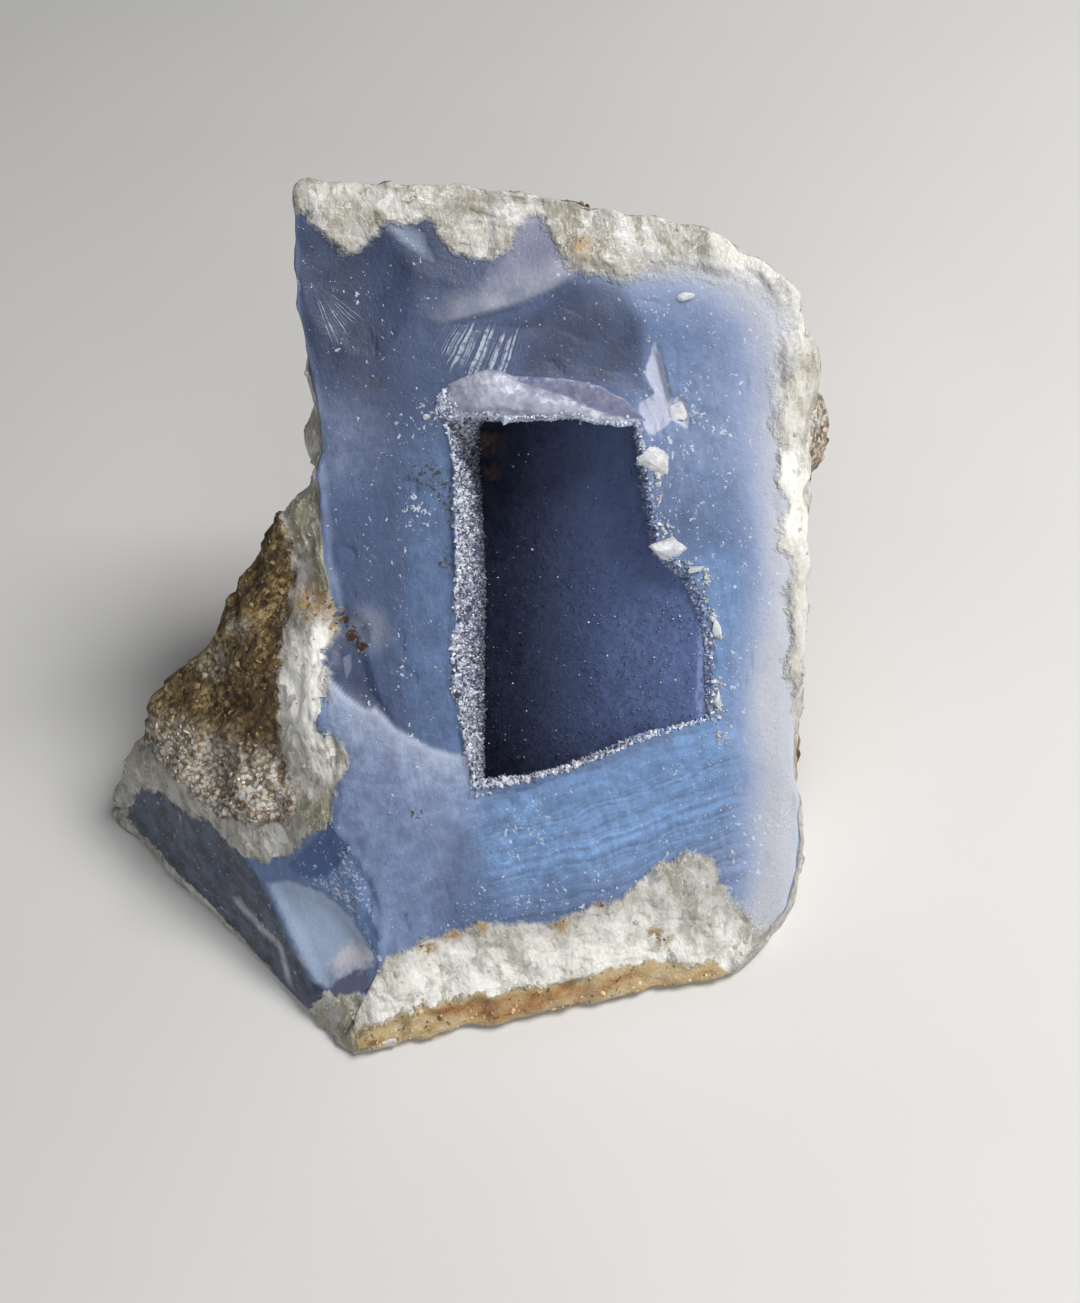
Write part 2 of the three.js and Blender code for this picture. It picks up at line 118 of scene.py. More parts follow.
FLANK_QUARTZ = np.array([
    [-8, 68.6], [-9.4, 63.3], [-9.7, 59.1], [-10.1, 55.1], [-10.6, 51.4], [-10.5, 49.3], [-11.2, 47],
    [-13.4, 45.8], [-13.2, 43.6], [-14.2, 41.7], [-15, 38.6], [-13.9, 35.9], [-13.9, 33.7],
    [-15.3, 32.2], [-16.3, 29.8], [-16.9, 28.1], [-18.5, 27.7], [-20.2, 26.6], [-21.9, 25.5],
    [-24.1, 25.4], [-26, 26.2], [-26.7, 27.3], [-27.6, 29.3], [-28.6, 31], [-29.7, 32],
    [-31.2, 33.1], [-32.6, 34.3], [-34.3, 35.6], [-36.2, 38], [-45, 40], [-40, 60], [-10, 80]])
FLANK_SKIN = np.array([
    [-12.4, 64], [-13.5, 59.8], [-14.3, 55.2], [-15.9, 50.3], [-17.6, 46.2], [-19.1, 42.9],
    [-19.5, 38.5], [-19.9, 34.8], [-19.6, 31], [-21.1, 29.4], [-24.7, 30.1], [-27.4, 31.4],
    [-29.2, 34.3], [-31.4, 37.5], [-32.9, 41], [-36, 44], [-36, 60], [-16, 72]])

# Smaller patches, as seen, as (u, v)
STEP_LINE = np.array([
    [-14.5, 47], [-13.7, 45.5], [-13.5, 42.9], [-12.5, 41.1], [-10.9, 39.2], [-9.9, 39.1], [-8.5, 36.7],
    [-5.6, 34], [-3.3, 32.7], [-0.6, 32.5]])
PATCH = {
    "veil": [[9.4, 76.4], [11, 78.4], [12.6, 80.4], [13.8, 83], [16.4, 83], [17.6, 78.5], [17.6, 76]],
    "feather": [[2, 83.8], [3.6, 83.6], [4.7, 82.5], [5.2, 79.8], [3.9, 81], [2.8, 82.2]],
    "scar": [[23.8, 68.4], [23.2, 67.4], [22.4, 65.7], [22.6, 64.4], [23, 63.6], [21.4, 63], [20.9, 61.7],
             [21.7, 59.8], [22.9, 60.1], [24, 60.8], [25.3, 59.8], [25.7, 60.6], [25.5, 62.4],
             [25.2, 62.9], [24.3, 62.5], [24.2, 64.1], [24.1, 66.5]],
    "slate": [[8.2, 73.2], [12, 73], [17, 75.3], [21.7, 74.5], [23.4, 70.3], [22.2, 63.3], [18, 65.4],
              [10.8, 67.5], [12, 71]],
    "notch": [[-13, 45.7], [-12.2, 46.5], [-11.1, 46.9], [-10.5, 46.3], [-9.3, 44.5], [-9.2, 40.9],
              [-8.4, 37], [-10.2, 39.2], [-12, 40.8], [-13.1, 42.2]],
    "pane": [[-11.8, 44.9], [-10.9, 45], [-11.2, 43.6], [-12, 42.5]],
    "olive": [[-7.5, 80], [-13.5, 80], [-12.6, 66.5], [-13.4, 62.4], [-13.6, 58.1], [-13.6, 54.6],
              [-12.6, 52.6], [-11.2, 53.4], [-10.2, 56.1], [-9.1, 59.7], [-8.7, 63.1], [-8.3, 66.3]],
    "white": [[-12.2, 48.6], [-11.7, 47.2], [-12.9, 46.1], [-13.9, 43.6], [-14.4, 40.1], [-13.8, 35.3],
              [-14.3, 33.1], [-16.3, 32.2], [-17.6, 34.3], [-19.2, 38.4], [-18.9, 42.9], [-16.2, 46.8],
              [-13.9, 49]],
    "low_olive": [[-19.4, 31.4], [-15.8, 31.7], [-16.8, 28.7], [-18.5, 27.9], [-20.1, 28.8]],
    "cream": [[-32.8, 42], [-29.4, 41.2], [-26.5, 38.3], [-23.6, 36.2], [-18.9, 35], [-20.2, 30.5],
              [-25, 29.9], [-28.1, 31.7], [-30.8, 35], [-33.2, 37.6]],
    "umber": [[-22.4, 43.7], [-18.6, 42.9], [-19.6, 38], [-21.3, 35.3], [-24.2, 38.9]],
    "purple": [[-20, 12.1], [-17.9, 12.3], [-16.9, 11.4], [-17.7, 9.8], [-19, 9.7], [-21.1, 9.3],
               [-22.1, 10.4], [-21.1, 11]],
    "smoky": [[-22.1, 10.4], [-19, 9.7], [-17.6, 8], [-18, 5.4], [-19.6, 2.5], [-21, 2], [-24.5, 3.5],
              [-24.4, 7], [-23.7, 9]],
    "scoop": [[-24.8, 23.4], [-22.5, 23.1], [-20.1, 21.5], [-18.6, 19.3], [-17.2, 15.5], [-16.5, 13.3],
              [-18.2, 12.4], [-20.5, 11.6], [-21.6, 10.7], [-22.9, 11.9], [-23.8, 14.7], [-23.9, 17.4],
              [-24.6, 21]],
    "white_low": [[-21.3, 13.3], [-19.3, 15], [-16.4, 13.7], [-16.6, 12.7], [-19.2, 12.2], [-20.9, 11.9]],
    "royal": [[-15.2, 28.5], [-14.6, 26], [-17.5, 23.7], [-19, 22.8], [-20.9, 23.2], [-22.5, 24.8],
              [-20.5, 26.1], [-17.8, 28]],
    "glitter": [[-16.2, 26], [-14.6, 26], [-13.9, 19.7], [-13.6, 12.4], [-16.5, 13.1], [-17.4, 16],
                [-18.2, 19.6], [-20, 21.7], [-21.5, 22.9], [-19, 22.8], [-17.5, 23.7]],
    "white_edge": [[33.4, 55.4], [36.5, 56.5], [37.5, 52.3], [36.6, 47.5], [32.8, 46.6], [32.1, 48.3],
                   [33.6, 50.9], [32.5, 53.1]],
    "rust": [[-12, 6], [-6.6, 6.7], [-0.4, 6], [5.8, 5.4], [9.6, 5.8], [5.5, 4.3], [-0.9, 3.9], [-7.2, 4.2]],
    "lip_white": [[2.9, 66.9], [2.9, 67.7], [4.3, 68.5], [6, 68.9], [7.8, 69], [9.1, 68.7], [10.1, 67.7],
                  [11.6, 66.6], [13.3, 65.7], [14.6, 65], [15.8, 64.1], [17.5, 62.9], [19.7, 61.9],
                  [21.2, 61.4], [18.7, 60.8], [14, 62.4], [9, 62.8], [5, 64], [3, 65]],
}
PATCH = {name: np.array(corners, float) for name, corners in PATCH.items()}
LEDGE = np.array([[3.6, 74.7], [4.7, 74], [9.4, 74.1], [12, 74.3], [14.7, 74.8], [17.4, 75.6]])
RIDGE = np.array([[-28.3, 22.2], [-27.1, 19.4], [-25.4, 16.4], [-25.2, 12.4]])
FACET_EDGE = np.array([[-30, 36], [-26.7, 28.3], [-25.9, 25.6], [-25, 21.1], [-24.3, 16.1], [-23.7, 13.4],
                       [-22.1, 10.4]])

# Round spots, as seen, as (u, v, radius)
SPOTS = {
    "cloudy": [(-8, 66, 8), (24, 14, 9), (28, 60, 12)],
    "slate": [(5, 80, 7), (-3, 83, 6), (-3, 76, 8), (-5, 69, 8), (18, 79, 6)],
    "milky": [(-9, 47, 3.4)],
    "rusty": [(-10.8, 48.5, 0.7), (-10.4, 46.8, 0.8), (-9.7, 45.3, 0.8)],
    "stain": [(-12.8, 50.8, 3.2), (-11.4, 48.2, 1.8), (19, 78.1, 1.5), (13, 8.9, 1.6), (12.2, 9.6, 1.1),
              (-7.8, 14.4, 2.0), (-10.8, 13.1, 1.5), (-4.9, 14.4, 1.4), (3.1, 12.6, 1.2),
              (7.6, 14, 1.0), (-14.6, 32.5, 1.2), (-19, 4, 2.5)],
    "dark": [(-4, 80, 9), (-5, 74, 7), (3, 82, 6)],
    "deep": [(-6, 17, 9), (4, 16, 8), (22, 52, 6)],
    "green": [(-35, 36, 6), (-37, 30, 5), (17, 80, 3), (-5, 88, 3), (37, 62, 5), (36, 50, 3)],
    "greenest": [(-0.3, 86, 2.2), (4.2, 87, 1.9), (1.5, 84.4, 1.4), (19, 78.1, 2.2), (10, 84, 1.5)],
    "cream": [(38.5, 59, 8)],
    "pale_cream": [(-24, 47, 2.5), (-20, 50, 2.0), (-23, 55, 2.5)],
    "flecks": [(0.5, 66, 3.5), (24, 60, 4), (2, 24, 5), (-1, 57, 3)],
    "specks": [(-0.6, 60.8, 1.4), (0.3, 60, 1.6), (0.9, 60.9, 1.3), (1.0, 59.2, 1.7),
               (1.6, 58.3, 1.5), (1.9, 57, 1.2), (1.6, 55.4, 1.0), (0.1, 52.1, 1.2),
               (-8.4, 27.5, 1.0), (23.4, 43.8, 1.1), (22.2, 46.6, 1.2), (-2.4, 70, 1.0),
               (-10.3, 47.6, 0.8), (-10, 46, 0.9)],
}
LINING_BROWN = [(6.8, 62.5, 2.2), (6.2, 59.5, 1.5)]
CRUMB_SPOTS = [
    (21.4, 56, 1.2), (20.9, 54, 1.2), (20.7, 52, 1.1), (20.9, 50.6, 1.2), (23.3, 46.7, 1.0),
    (24.3, 44.9, 1.0), (24.0, 43, 0.9), (24.1, 41.1, 0.9), (24.0, 39.1, 0.9), (23.2, 34.1, 1.1),
    (22.9, 32.2, 1.4), (22.8, 28.8, 1.0), (-1.5, 29.0, 1.6), (2.2, 66, 0.9)]

# Fans of feathered lines: the point they spread from, their heading and half spread in degrees,
# and how far from the point they start and end
RIGHT_FAN = {"middle": (23, 92), "heading": -126, "spread": 10, "near": 20.4, "far": 30}
LEFT_FAN = {"middle": (-6.2, 80.9), "heading": -68, "spread": 24, "near": 0.3, "far": 7.6}

# Round dents of the face: middle, half widths and depth
SCOOPS = [
    ((12, 81), (9, 4.5), 0.9), ((-12, 47), (3.5, 3), 1.0), ((-2, 79), (5, 6), 0.7),
    ((28, 64), (7, 9), 0.5), ((17, 21), (12, 7), 0.5)]


def unit(vector):
    """A vector scaled to length 1."""
    vector = np.asarray(vector, float)
    return vector / np.linalg.norm(vector, axis=-1, keepdims=True)


def facet(normal, point):
    """A plane as its outward unit normal and a point on it, moved into the part's frame."""
    return unit(normal), np.array(point, float) + ORIGIN_SHIFT


def on_face(u, v, w=0.0):
    """The point at (u, v) on the face's plane and w above it."""
    u, v, w = np.broadcast_arrays(u, v, w)
    return (FACE_FOOT + u[..., None] * FACE_RIGHT + v[..., None] * FACE_UP
            + w[..., None] * FACE_OUT)


# The broken stone's facets: the block, its upper left side, and the wedge at its left
BLOCK = {
    "front": (FACE_OUT, on_face(0, 0, 0.9)),
    "back": facet([0.25, 0.96, 0.08], [0, 32.5, 0]),
    "back_right": facet([0.72, 0.68, 0.12], [39, 15, 30]),
    "right": facet([0.955, -0.28, -0.08], [41.9, 9.4, 52.8]),
    "upper_right": facet([0.65, 0.42, 0.63], [39.5, 13.5, 58]),
    "top": facet([0.354, 0.625, 0.694], [16, 22, 66]),
    "front_skin": facet([-0.065, -0.99, -0.12], [0, -27.2, 0]),
    "front_corner": facet([0.743, -0.669, 0], [25.4, -24.6, 0]),
    "base": facet([0, 0, -1], [0, 0, 0]),
}
UPPER_LEFT = facet([-0.965, 0.25, 0.04], [-4.4, 13, 53.5])
WEDGE = {
    "flank": facet([-0.716, -0.359, 0.598], [-5.1, 12.5, 52.7]),
    "corner_facet": facet([-0.565, -0.597, 0.57], [-21, -25, 0]),
    "left_facet": facet([-0.791, -0.507, 0.342], [-35.3, -2, 0]),
    "tip": facet([-0.97, 0.24, 0], [-44.2, 13, 0]),
    "back_left": facet([-0.369, 0.864, 0.356], [-22.1, 11.4, 31.6]),
}
CORE = np.array([6.0, 5.0, 22.0]) + ORIGIN_SHIFT  # inside the stone
BACK_POLE = unit([0.05, 0.85, -0.45])
EDGE_ROUND = 0.45
OUTLINE_FADE = 4.5
BASE_LEVEL = 0.35
RIGHT_LUMP = (42.5, 11.5, 38.5)
LUMPS = [
    ((-5.9, 14.6, 48.8), 5.5, 2.6), ((-7.5, 12, 43.5), 5, 1.6),
    (RIGHT_LUMP, 8, 2.6), ((-14.5, -4.5, 31.5), 5, 1.3), ((-19.4, -9.5, 22.5), 4.5, 1.4),
    ((-12.2, 1.5, 38), 4, 1.0), ((-18.5, -17, 12), 6, -0.9), ((-23.5, -4, 21), 4, 0.9),
    ((-32, 7, 20), 8, 1.3), ((-18, 6, 33), 6, 0.8), ((-26, 1.5, 21.5), 4, -1.2),
    ((-12, 5, 42), 4, -0.8), ((10, 31, 38), 15, 2.4), ((-12, 27, 16), 11, 2.2),
    ((27, 23, 18), 12, -1.8), ((8, 31, 8), 9, -1.4)]
FIBRES = unit(np.cross(WEDGE["flank"][0], WEDGE["back_left"][0]))  # along the flank's outer edge

# Mesh steps
STONE = {"columns": 450, "floor": 2, "wall": 3, "face": 106, "side": 108}
LINING = {"columns": 400, "floor": 60, "wall": 44, "rim": 10, "back": 6}
RIM_COVER = 0.6  # how far under the lining's rim the stone reaches, as a share of the rim's width


def smooth(value, low, high):
    """0 below low, 1 above high, and a smooth step between."""
    part = np.clip((value - low) / (high - low), 0, 1)
    return part * part * (3 - 2 * part)


def lattice(cell):
    """A number from -1 to 1 for each whole-number point, from a folded sine."""
    wave = np.sin(cell @ np.array([127.1, 311.7, 74.7])) * 43758.5453
    return (wave - np.floor(wave)) * 2 - 1


def noise(points, size):
    """Smooth value noise: the eight numbers at the corners of a point's cell, eased between."""
    corner = np.floor(points / size)
    inside = points / size - corner
    ease = inside * inside * (3 - 2 * inside)
    total = np.zeros(points.shape[:-1])
    for step in np.ndindex(2, 2, 2):
        weight = np.prod(np.where(np.array(step) == 1, ease, 1 - ease), axis=-1)
        total += weight * lattice(corner + step)
    return total


def fractal(points, size, octaves=3):
    """Noise added to itself at half the size and half the height, again and again."""
    total = np.zeros(points.shape[:-1])
    for octave in range(octaves):
        total += 0.5 ** octave * noise(points + 7.3 * octave, size / 2 ** octave)
    return total


def drawn_out(points, axis, length):
    """Points squeezed along an axis, so that noise on them is drawn out along it by length."""
    along = points @ axis
    return points - (along * (1 - 1 / length))[..., None] * axis


def grains(points, size, channel=0.0):
    """Crystal grains: each point belongs to the nearest of one random seed per cell. Gives a flat
    tilted top for each grain, from -1 to 1, and how near the point is to its grain's border."""
    place = points / size
    corner = np.floor(place)
    first = np.full(points.shape[:-1], 9.0)
    second = np.full(points.shape[:-1], 9.0)
    top = np.zeros(points.shape[:-1])
    for step in np.ndindex(3, 3, 3):
        cell = corner + np.array(step) - 1
        seed = cell + 0.5 + 0.45 * np.stack(
            [lattice(cell + 11.0 * axis + channel) for axis in range(3)], axis=-1)
        tilt = np.stack([lattice(cell - 17.0 * axis - channel) for axis in range(3)], axis=-1)
        away = place - seed
        far = np.linalg.norm(away, axis=-1)
        nearer = far < first
        second = np.where(nearer, first, np.minimum(second, far))
        height = 0.55 * lattice(cell + 5.5) + 0.9 * np.sum(away * tilt, axis=-1)
        top = np.where(nearer, height, top)
        first = np.where(nearer, far, first)
    return top, second - first


def cross2(a, b):
    """The cross product of two-part vectors."""
    return a[..., 0] * b[..., 1] - a[..., 1] * b[..., 0]


def reach(polygon, angles):
    """Distance from the hollow's centre to an outline at each angle: where a ray crosses it."""
    start = polygon - HOLLOW_CENTRE
    edge = np.roll(start, -1, axis=0) - start
    ray = np.stack([np.cos(angles), np.sin(angles)], axis=-1)[:, None, :]
    across = cross2(ray, edge[None])
    distance = cross2(start, edge)[None] / across
    along = cross2(start[None], ray) / across
    met = (distance > 0) & (along >= 0) & (along < 1)
    return np.where(met, distance, np.inf).min(axis=1)


def even_angles(count, polygon, corners, left_share=0.0):
    """Angles about the hollow's centre that step evenly along an outline, closer together on its
    left by left_share, with one moved onto each of its sharp corners."""
    dense = np.linspace(0, 2 * math.pi, 14401)
    radius = reach(polygon, dense[:-1])
    radius = np.append(radius, radius[0])
    points = radius[:, None] * np.stack([np.cos(dense), np.sin(dense)], axis=-1)
    crowd = 1 + left_share * smooth(-np.cos(dense[1:] - 0.3), -0.3, 0.6)
    steps = np.linalg.norm(np.diff(points, axis=0), axis=1) * crowd
    lengths = np.append(0, np.cumsum(steps))
    angles = np.interp(np.arange(count) / count * lengths[-1], lengths, dense)
    for corner in corners - HOLLOW_CENTRE:
        angle = math.atan2(corner[1], corner[0]) % (2 * math.pi)
        angles[np.argmin(np.abs(angles - angle))] = angle
    return angles


def around(radius, angles):
    """(u, v) at a radius and an angle about the hollow's centre."""
    return (HOLLOW_CENTRE[0] + radius * np.cos(angles),
            HOLLOW_CENTRE[1] + radius * np.sin(angles))


def floor_point(radius, angles, further=0.0):
    """The slanting floor under a point of the mouth, along the ray from the eye: its depth falls
    evenly from the deep line by the left wall to the shallow right edge."""
    u, v = around(radius, angles)
    deep_line = -1.2 + 0.21 * (v - 29.4)
    across = np.clip((u - deep_line) / HOLLOW_SPAN, 0, 1)
    depth = HOLLOW_DEEP + (HOLLOW_SHALLOW - HOLLOW_DEEP) * across + further
    point = on_face(u, v)
    return point + unit(point - EYE) * depth[..., None]


def inside(places, polygon):
    """Signed distance from places (..., 2) to a closed outline, positive inside."""
    start = polygon
    edge = np.roll(polygon, -1, axis=0) - start
    nearest = np.full(places.shape[:-1], np.inf)
    crossings = np.zeros(places.shape[:-1], int)
    for corner, side in zip(start, edge):
        away = places - corner
        along = np.clip((away @ side) / (side @ side), 0, 1)
        nearest = np.minimum(nearest, np.linalg.norm(away - along[..., None] * side, axis=-1))
        rises = (away[..., 1] >= 0) != (away[..., 1] - side[1] >= 0)
        run = away[..., 0] - side[0] * away[..., 1] / (side[1] if side[1] else 1e-9)
        crossings += rises & (run < 0)
    return np.where(crossings % 2 == 1, nearest, -nearest)


def beyond(places, line):
    """Signed distance from places to an open line, positive on its left-hand side."""
    nearest = np.full(places.shape[:-1], np.inf)
    sign = np.ones(places.shape[:-1])
    for corner, side in zip(line[:-1], np.diff(line, axis=0)):
        away = places - corner
        along = np.clip((away @ side) / (side @ side), 0, 1)
        far = np.linalg.norm(away - along[..., None] * side, axis=-1)
        nearer = far < nearest - 1e-9
        sign = np.where(nearer, np.sign(cross2(side, away)), sign)
        nearest = np.where(nearer, far, nearest)
    return nearest * sign


def seen(points):
    """Where the camera's ray to each point crosses the face's plane, as (u, v)."""
    ray = points - EYE
    part = ((FACE_FOOT - EYE) @ FACE_OUT) / (ray @ FACE_OUT)
    hit = EYE + ray * part[..., None] - FACE_FOOT
    return np.stack([hit @ FACE_RIGHT, hit @ FACE_UP], axis=-1)


def facet_distance(plane, directions):
    """Distance from the core to a facet along each direction."""
    normal, point = plane
    facing = directions @ normal
    return np.where(facing > 1e-6, ((point - CORE) @ normal) / np.maximum(facing, 1e-6), 1e6)


def leave(directions):
    """Where rays from the core leave the stone: the softly rounded least of the block's facets
    and of its left side, which is the further of the upper left facet and the wedge."""
    block = np.stack([facet_distance(plane, directions) for plane in BLOCK.values()])
    wedge = np.stack([facet_distance(plane, directions) for plane in WEDGE.values()]).min(axis=0)
    side = np.maximum(wedge, facet_distance(UPPER_LEFT, directions))
    hits = np.concatenate([block, side[None]])
    least = hits.min(axis=0)
    total = np.exp((least - hits) / EDGE_ROUND).sum(axis=0)
    order = np.sort(hits, axis=0)
    return least - EDGE_ROUND * np.log(total), order[1] - order[0]


def shares(points):
    """How much of the surface at each point belongs to each facet: names to arrays of 0 to 1."""
    directions = unit(points - CORE)
    distance, _ = leave(directions)
    planes = {**BLOCK, **WEDGE, "upper_left": UPPER_LEFT}
    weights = {name: np.exp(-np.abs(facet_distance(plane, directions) - distance))
               for name, plane in planes.items()}
    total = sum(weights.values()) + 1e-9
    return {name: weight / total for name, weight in weights.items()}


def side_rows(edge, count):
    """The sides behind the outline: each column turns from its edge point's direction to the
    back pole and takes the stone's surface there, stretched to meet the edge with a share that
    dies out behind it. Rows are closer near the outline and at the creases."""
    steps = 260
    start = edge - CORE
    first = unit(start)
    stretch = np.linalg.norm(start, axis=-1) / leave(first)[0] - 1
    turn = np.arccos(np.clip(first @ BACK_POLE, -1, 1))
    angle = np.linspace(0, 1, steps + 1)[:, None] * turn
    directions = unit(np.sin(turn - angle)[..., None] * first + np.sin(angle)[..., None] * BACK_POLE)
    distance, gap = leave(directions)
    points = CORE + directions * distance[..., None]
    fade = np.exp(-np.linalg.norm(points - edge, axis=-1) / OUTLINE_FADE)
    points = points + directions * (distance * stretch * fade)[..., None]
    length = np.linalg.norm(np.diff(points, axis=0), axis=-1)
    travelled = np.append(np.zeros((1, edge.shape[0])), np.cumsum(length, axis=0), axis=0)
    shown = smooth(np.sum(directions * unit(EYE - CORE), axis=-1), -0.35, 0.15)
    crowd = (1 + 1.2 * np.exp(-gap / 1.0) + 1.2 * np.exp(-travelled / 12.0)) * (0.45 + shown)
    weight = np.append(
        np.zeros((1, edge.shape[0])), np.cumsum(length * (crowd[1:] + crowd[:-1]) / 2, axis=0), axis=0)
    wanted = np.arange(1, count + 1) / count
    rows = np.empty((count, edge.shape[0], 3))
    for column in range(edge.shape[0]):
        place = np.interp(wanted * weight[-1, column], weight[:, column], np.arange(steps + 1))
        low = np.minimum(place.astype(int), steps - 1)
        part = (place - low)[:, None]
        rows[:, column] = points[low, column] * (1 - part) + points[low + 1, column] * part
    return rows


def crescent(place):
    """The pale band above the ledge over the hollow: 1 at its sharp lower edge and 0 further up."""
    above = beyond(place, LEDGE)
    ends = smooth(place[..., 0], 2.2, 8.5) * (1 - smooth(place[..., 0], 15.5, 18.5))
    return smooth(above, -0.3, 0.3) * (1 - smooth(above, 0.5, 3.6)) * ends


def relief(u, v):
    """Height of the broken face above its plane: long waves, the lower part left of a fracture
    step, the falling rind, conchoidal scoops, and the sharp-edged scar, crescent and notch."""
    place = np.stack([u, v], axis=-1)
    waves = 0.3 * noise(np.stack([u, v, np.full_like(u, 3.0)], axis=-1), 14)
    above = beyond(place, STEP_LINE)
    lower = (0.3 * (1 - smooth(above, -0.35, 0.35)) * smooth(above, -16, -3)
             * (1 - smooth(u, -7, -1.5)))
    rind_top = -1.3 * smooth(v + 0.36 * u, 83.5, 90.5)
    rind_foot = -1.1 * (1 - smooth(v, 4, 15))
    right_edge = -0.9 * smooth(u - 0.17 * v, 23.5, 28)
    notch = inside(place, PATCH["notch"])
    sharp = (-0.55 * smooth(inside(place, PATCH["scar"]), -0.12, 0.35)
             + 0.45 * crescent(place)
             - 0.25 * smooth(inside(place, PATCH["feather"]), -0.3, 0.8)
             - 0.35 * smooth(inside(place, PATCH["slate"]), -0.2, 2.0)
             - 0.35 * smooth(notch, -0.3, 1.0))
    height = waves + lower + rind_top + rind_foot + right_edge + sharp
    for (middle_u, middle_v), (wide, tall), depth in SCOOPS:
        away = ((u - middle_u) / wide) ** 2 + ((v - middle_v) / tall) ** 2
        height = height - depth * np.clip(1 - away, 0, 1)
    return height


def grid_normals(rows):
    """Outward unit normals of a grid that closes on itself along its columns."""
    along = np.roll(rows, -1, axis=1) - np.roll(rows, 1, axis=1)
    across = np.empty_like(rows)
    across[1:-1] = rows[2:] - rows[:-2]
    across[0] = rows[1] - rows[0]
    across[-1] = rows[-1] - rows[-2]
    normal = np.cross(across, along)
    length = np.linalg.norm(normal, axis=-1, keepdims=True)
    return normal / np.maximum(length, 1e-9)


def below_skin(points, names):
    """How far points are below the nearest of the named outer facets."""
    planes = {**BLOCK, **WEDGE}
    return np.min([(planes[name][1] - points) @ planes[name][0] for name in names], axis=0)


def spots(place, middles):
    """The greatest of several round spots, 1 at each middle (u, v, radius) and 0 at its radius."""
    total = np.zeros(place.shape[:-1])
    for u, v, radius in middles:
        far = np.hypot(place[..., 0] - u, place[..., 1] - v) / radius
        total = np.maximum(total, 1 - smooth(far, 0.2, 1))
    return total


def blend(share, fields):
    """Fields given by facet, weighted by how much of the surface is each facet's."""
    total = sum(share[name] for name in fields) + 1e-9
    return sum(share[name] * field for name, field in fields.items()) / total


def quartz_and_skin(points, place, face, share, within):
    """Signed distances in millimetres, positive inside, of the quartz, of the rough skin and of the
    tan foot: on the face from the borders drawn on it, and behind its outline facet by facet."""
    u, v = place[..., 0], place[..., 1]
    local = points - ORIGIN_SHIFT
    wander = 0.9 * noise(local, 4.5) + 0.4 * noise(local, 1.8)
    behind = -((points - FACE_FOOT) @ FACE_OUT)
    flank_quartz = inside(place, FLANK_QUARTZ)
    flank_skin = inside(place, FLANK_SKIN)
    tan = beyond(place, TAN_LINE)
    cover = below_skin(points, ["back", "back_right", "back_left", "top", "flank"])
    left_cover = below_skin(points, ["back_left"])
    fringe = 2.2 - points[..., 2] - 0.4 * np.maximum(points[..., 0] + 33, 0)
    broken = np.maximum(np.maximum(flank_quartz, 3.5 - left_cover), fringe) + 0.5 * wander
    broken = np.maximum(broken, within["smoky"])
    quartz_side = blend(share, {
        "flank": flank_quartz, "corner_facet": broken, "left_facet": broken,
        "tip": 7 - cover + wander, "upper_left": 6.5 - cover + wander,
        "back": 4.0, "back_right": 4.0, "back_left": 4.0, "top": 4.0, "right": 4.0,
        "upper_right": 4.0, "front_skin": 4.0, "front_corner": 2.5 - 0.2 * points[..., 2],
        "base": 3.0, "front": -3.0})
    rough = 3.0 + 4.5 * noise(local + 40, 11) + 1.5 * wander
    lump = 6.5 - np.linalg.norm(local - np.array(RIGHT_LUMP), axis=-1) + wander
    skin_side = blend(share, {
        "flank": flank_skin, "corner_facet": flank_skin, "left_facet": flank_skin,
        "tip": 1.5 - cover, "upper_left": -0.5 - cover, "back": rough, "back_right": rough,
        "back_left": rough, "top": behind - 3.2 + 1.6 * wander,
        "right": np.maximum(behind - 15 + 2.2 * wander, lump),
        "upper_right": np.maximum(behind - 9 + 2 * wander, lump),
        "front_skin": tan, "front_corner": -2.0, "base": np.maximum(tan, 1.5), "front": -3.0})
    skin_side = np.minimum(skin_side, np.maximum(-2 * within["olive"], behind - 12 + wander))
    high_left = smooth(v, 60, 66) * (1 - smooth(u, -10, 0))
    set_back = np.minimum(skin_side, behind - 14 * high_left + wander)
    skin_side = np.where(high_left > 0, set_back, skin_side)
    quartz_face = np.max([beyond(place, RIND_LINE), beyond(place, FOOT_LINE), within["white_edge"],
                          np.where(v < 50, flank_quartz - 0.2, -9)], axis=0)
    side = 1 - face
    return face * quartz_face + side * quartz_side, face * tan + side * skin_side, tan


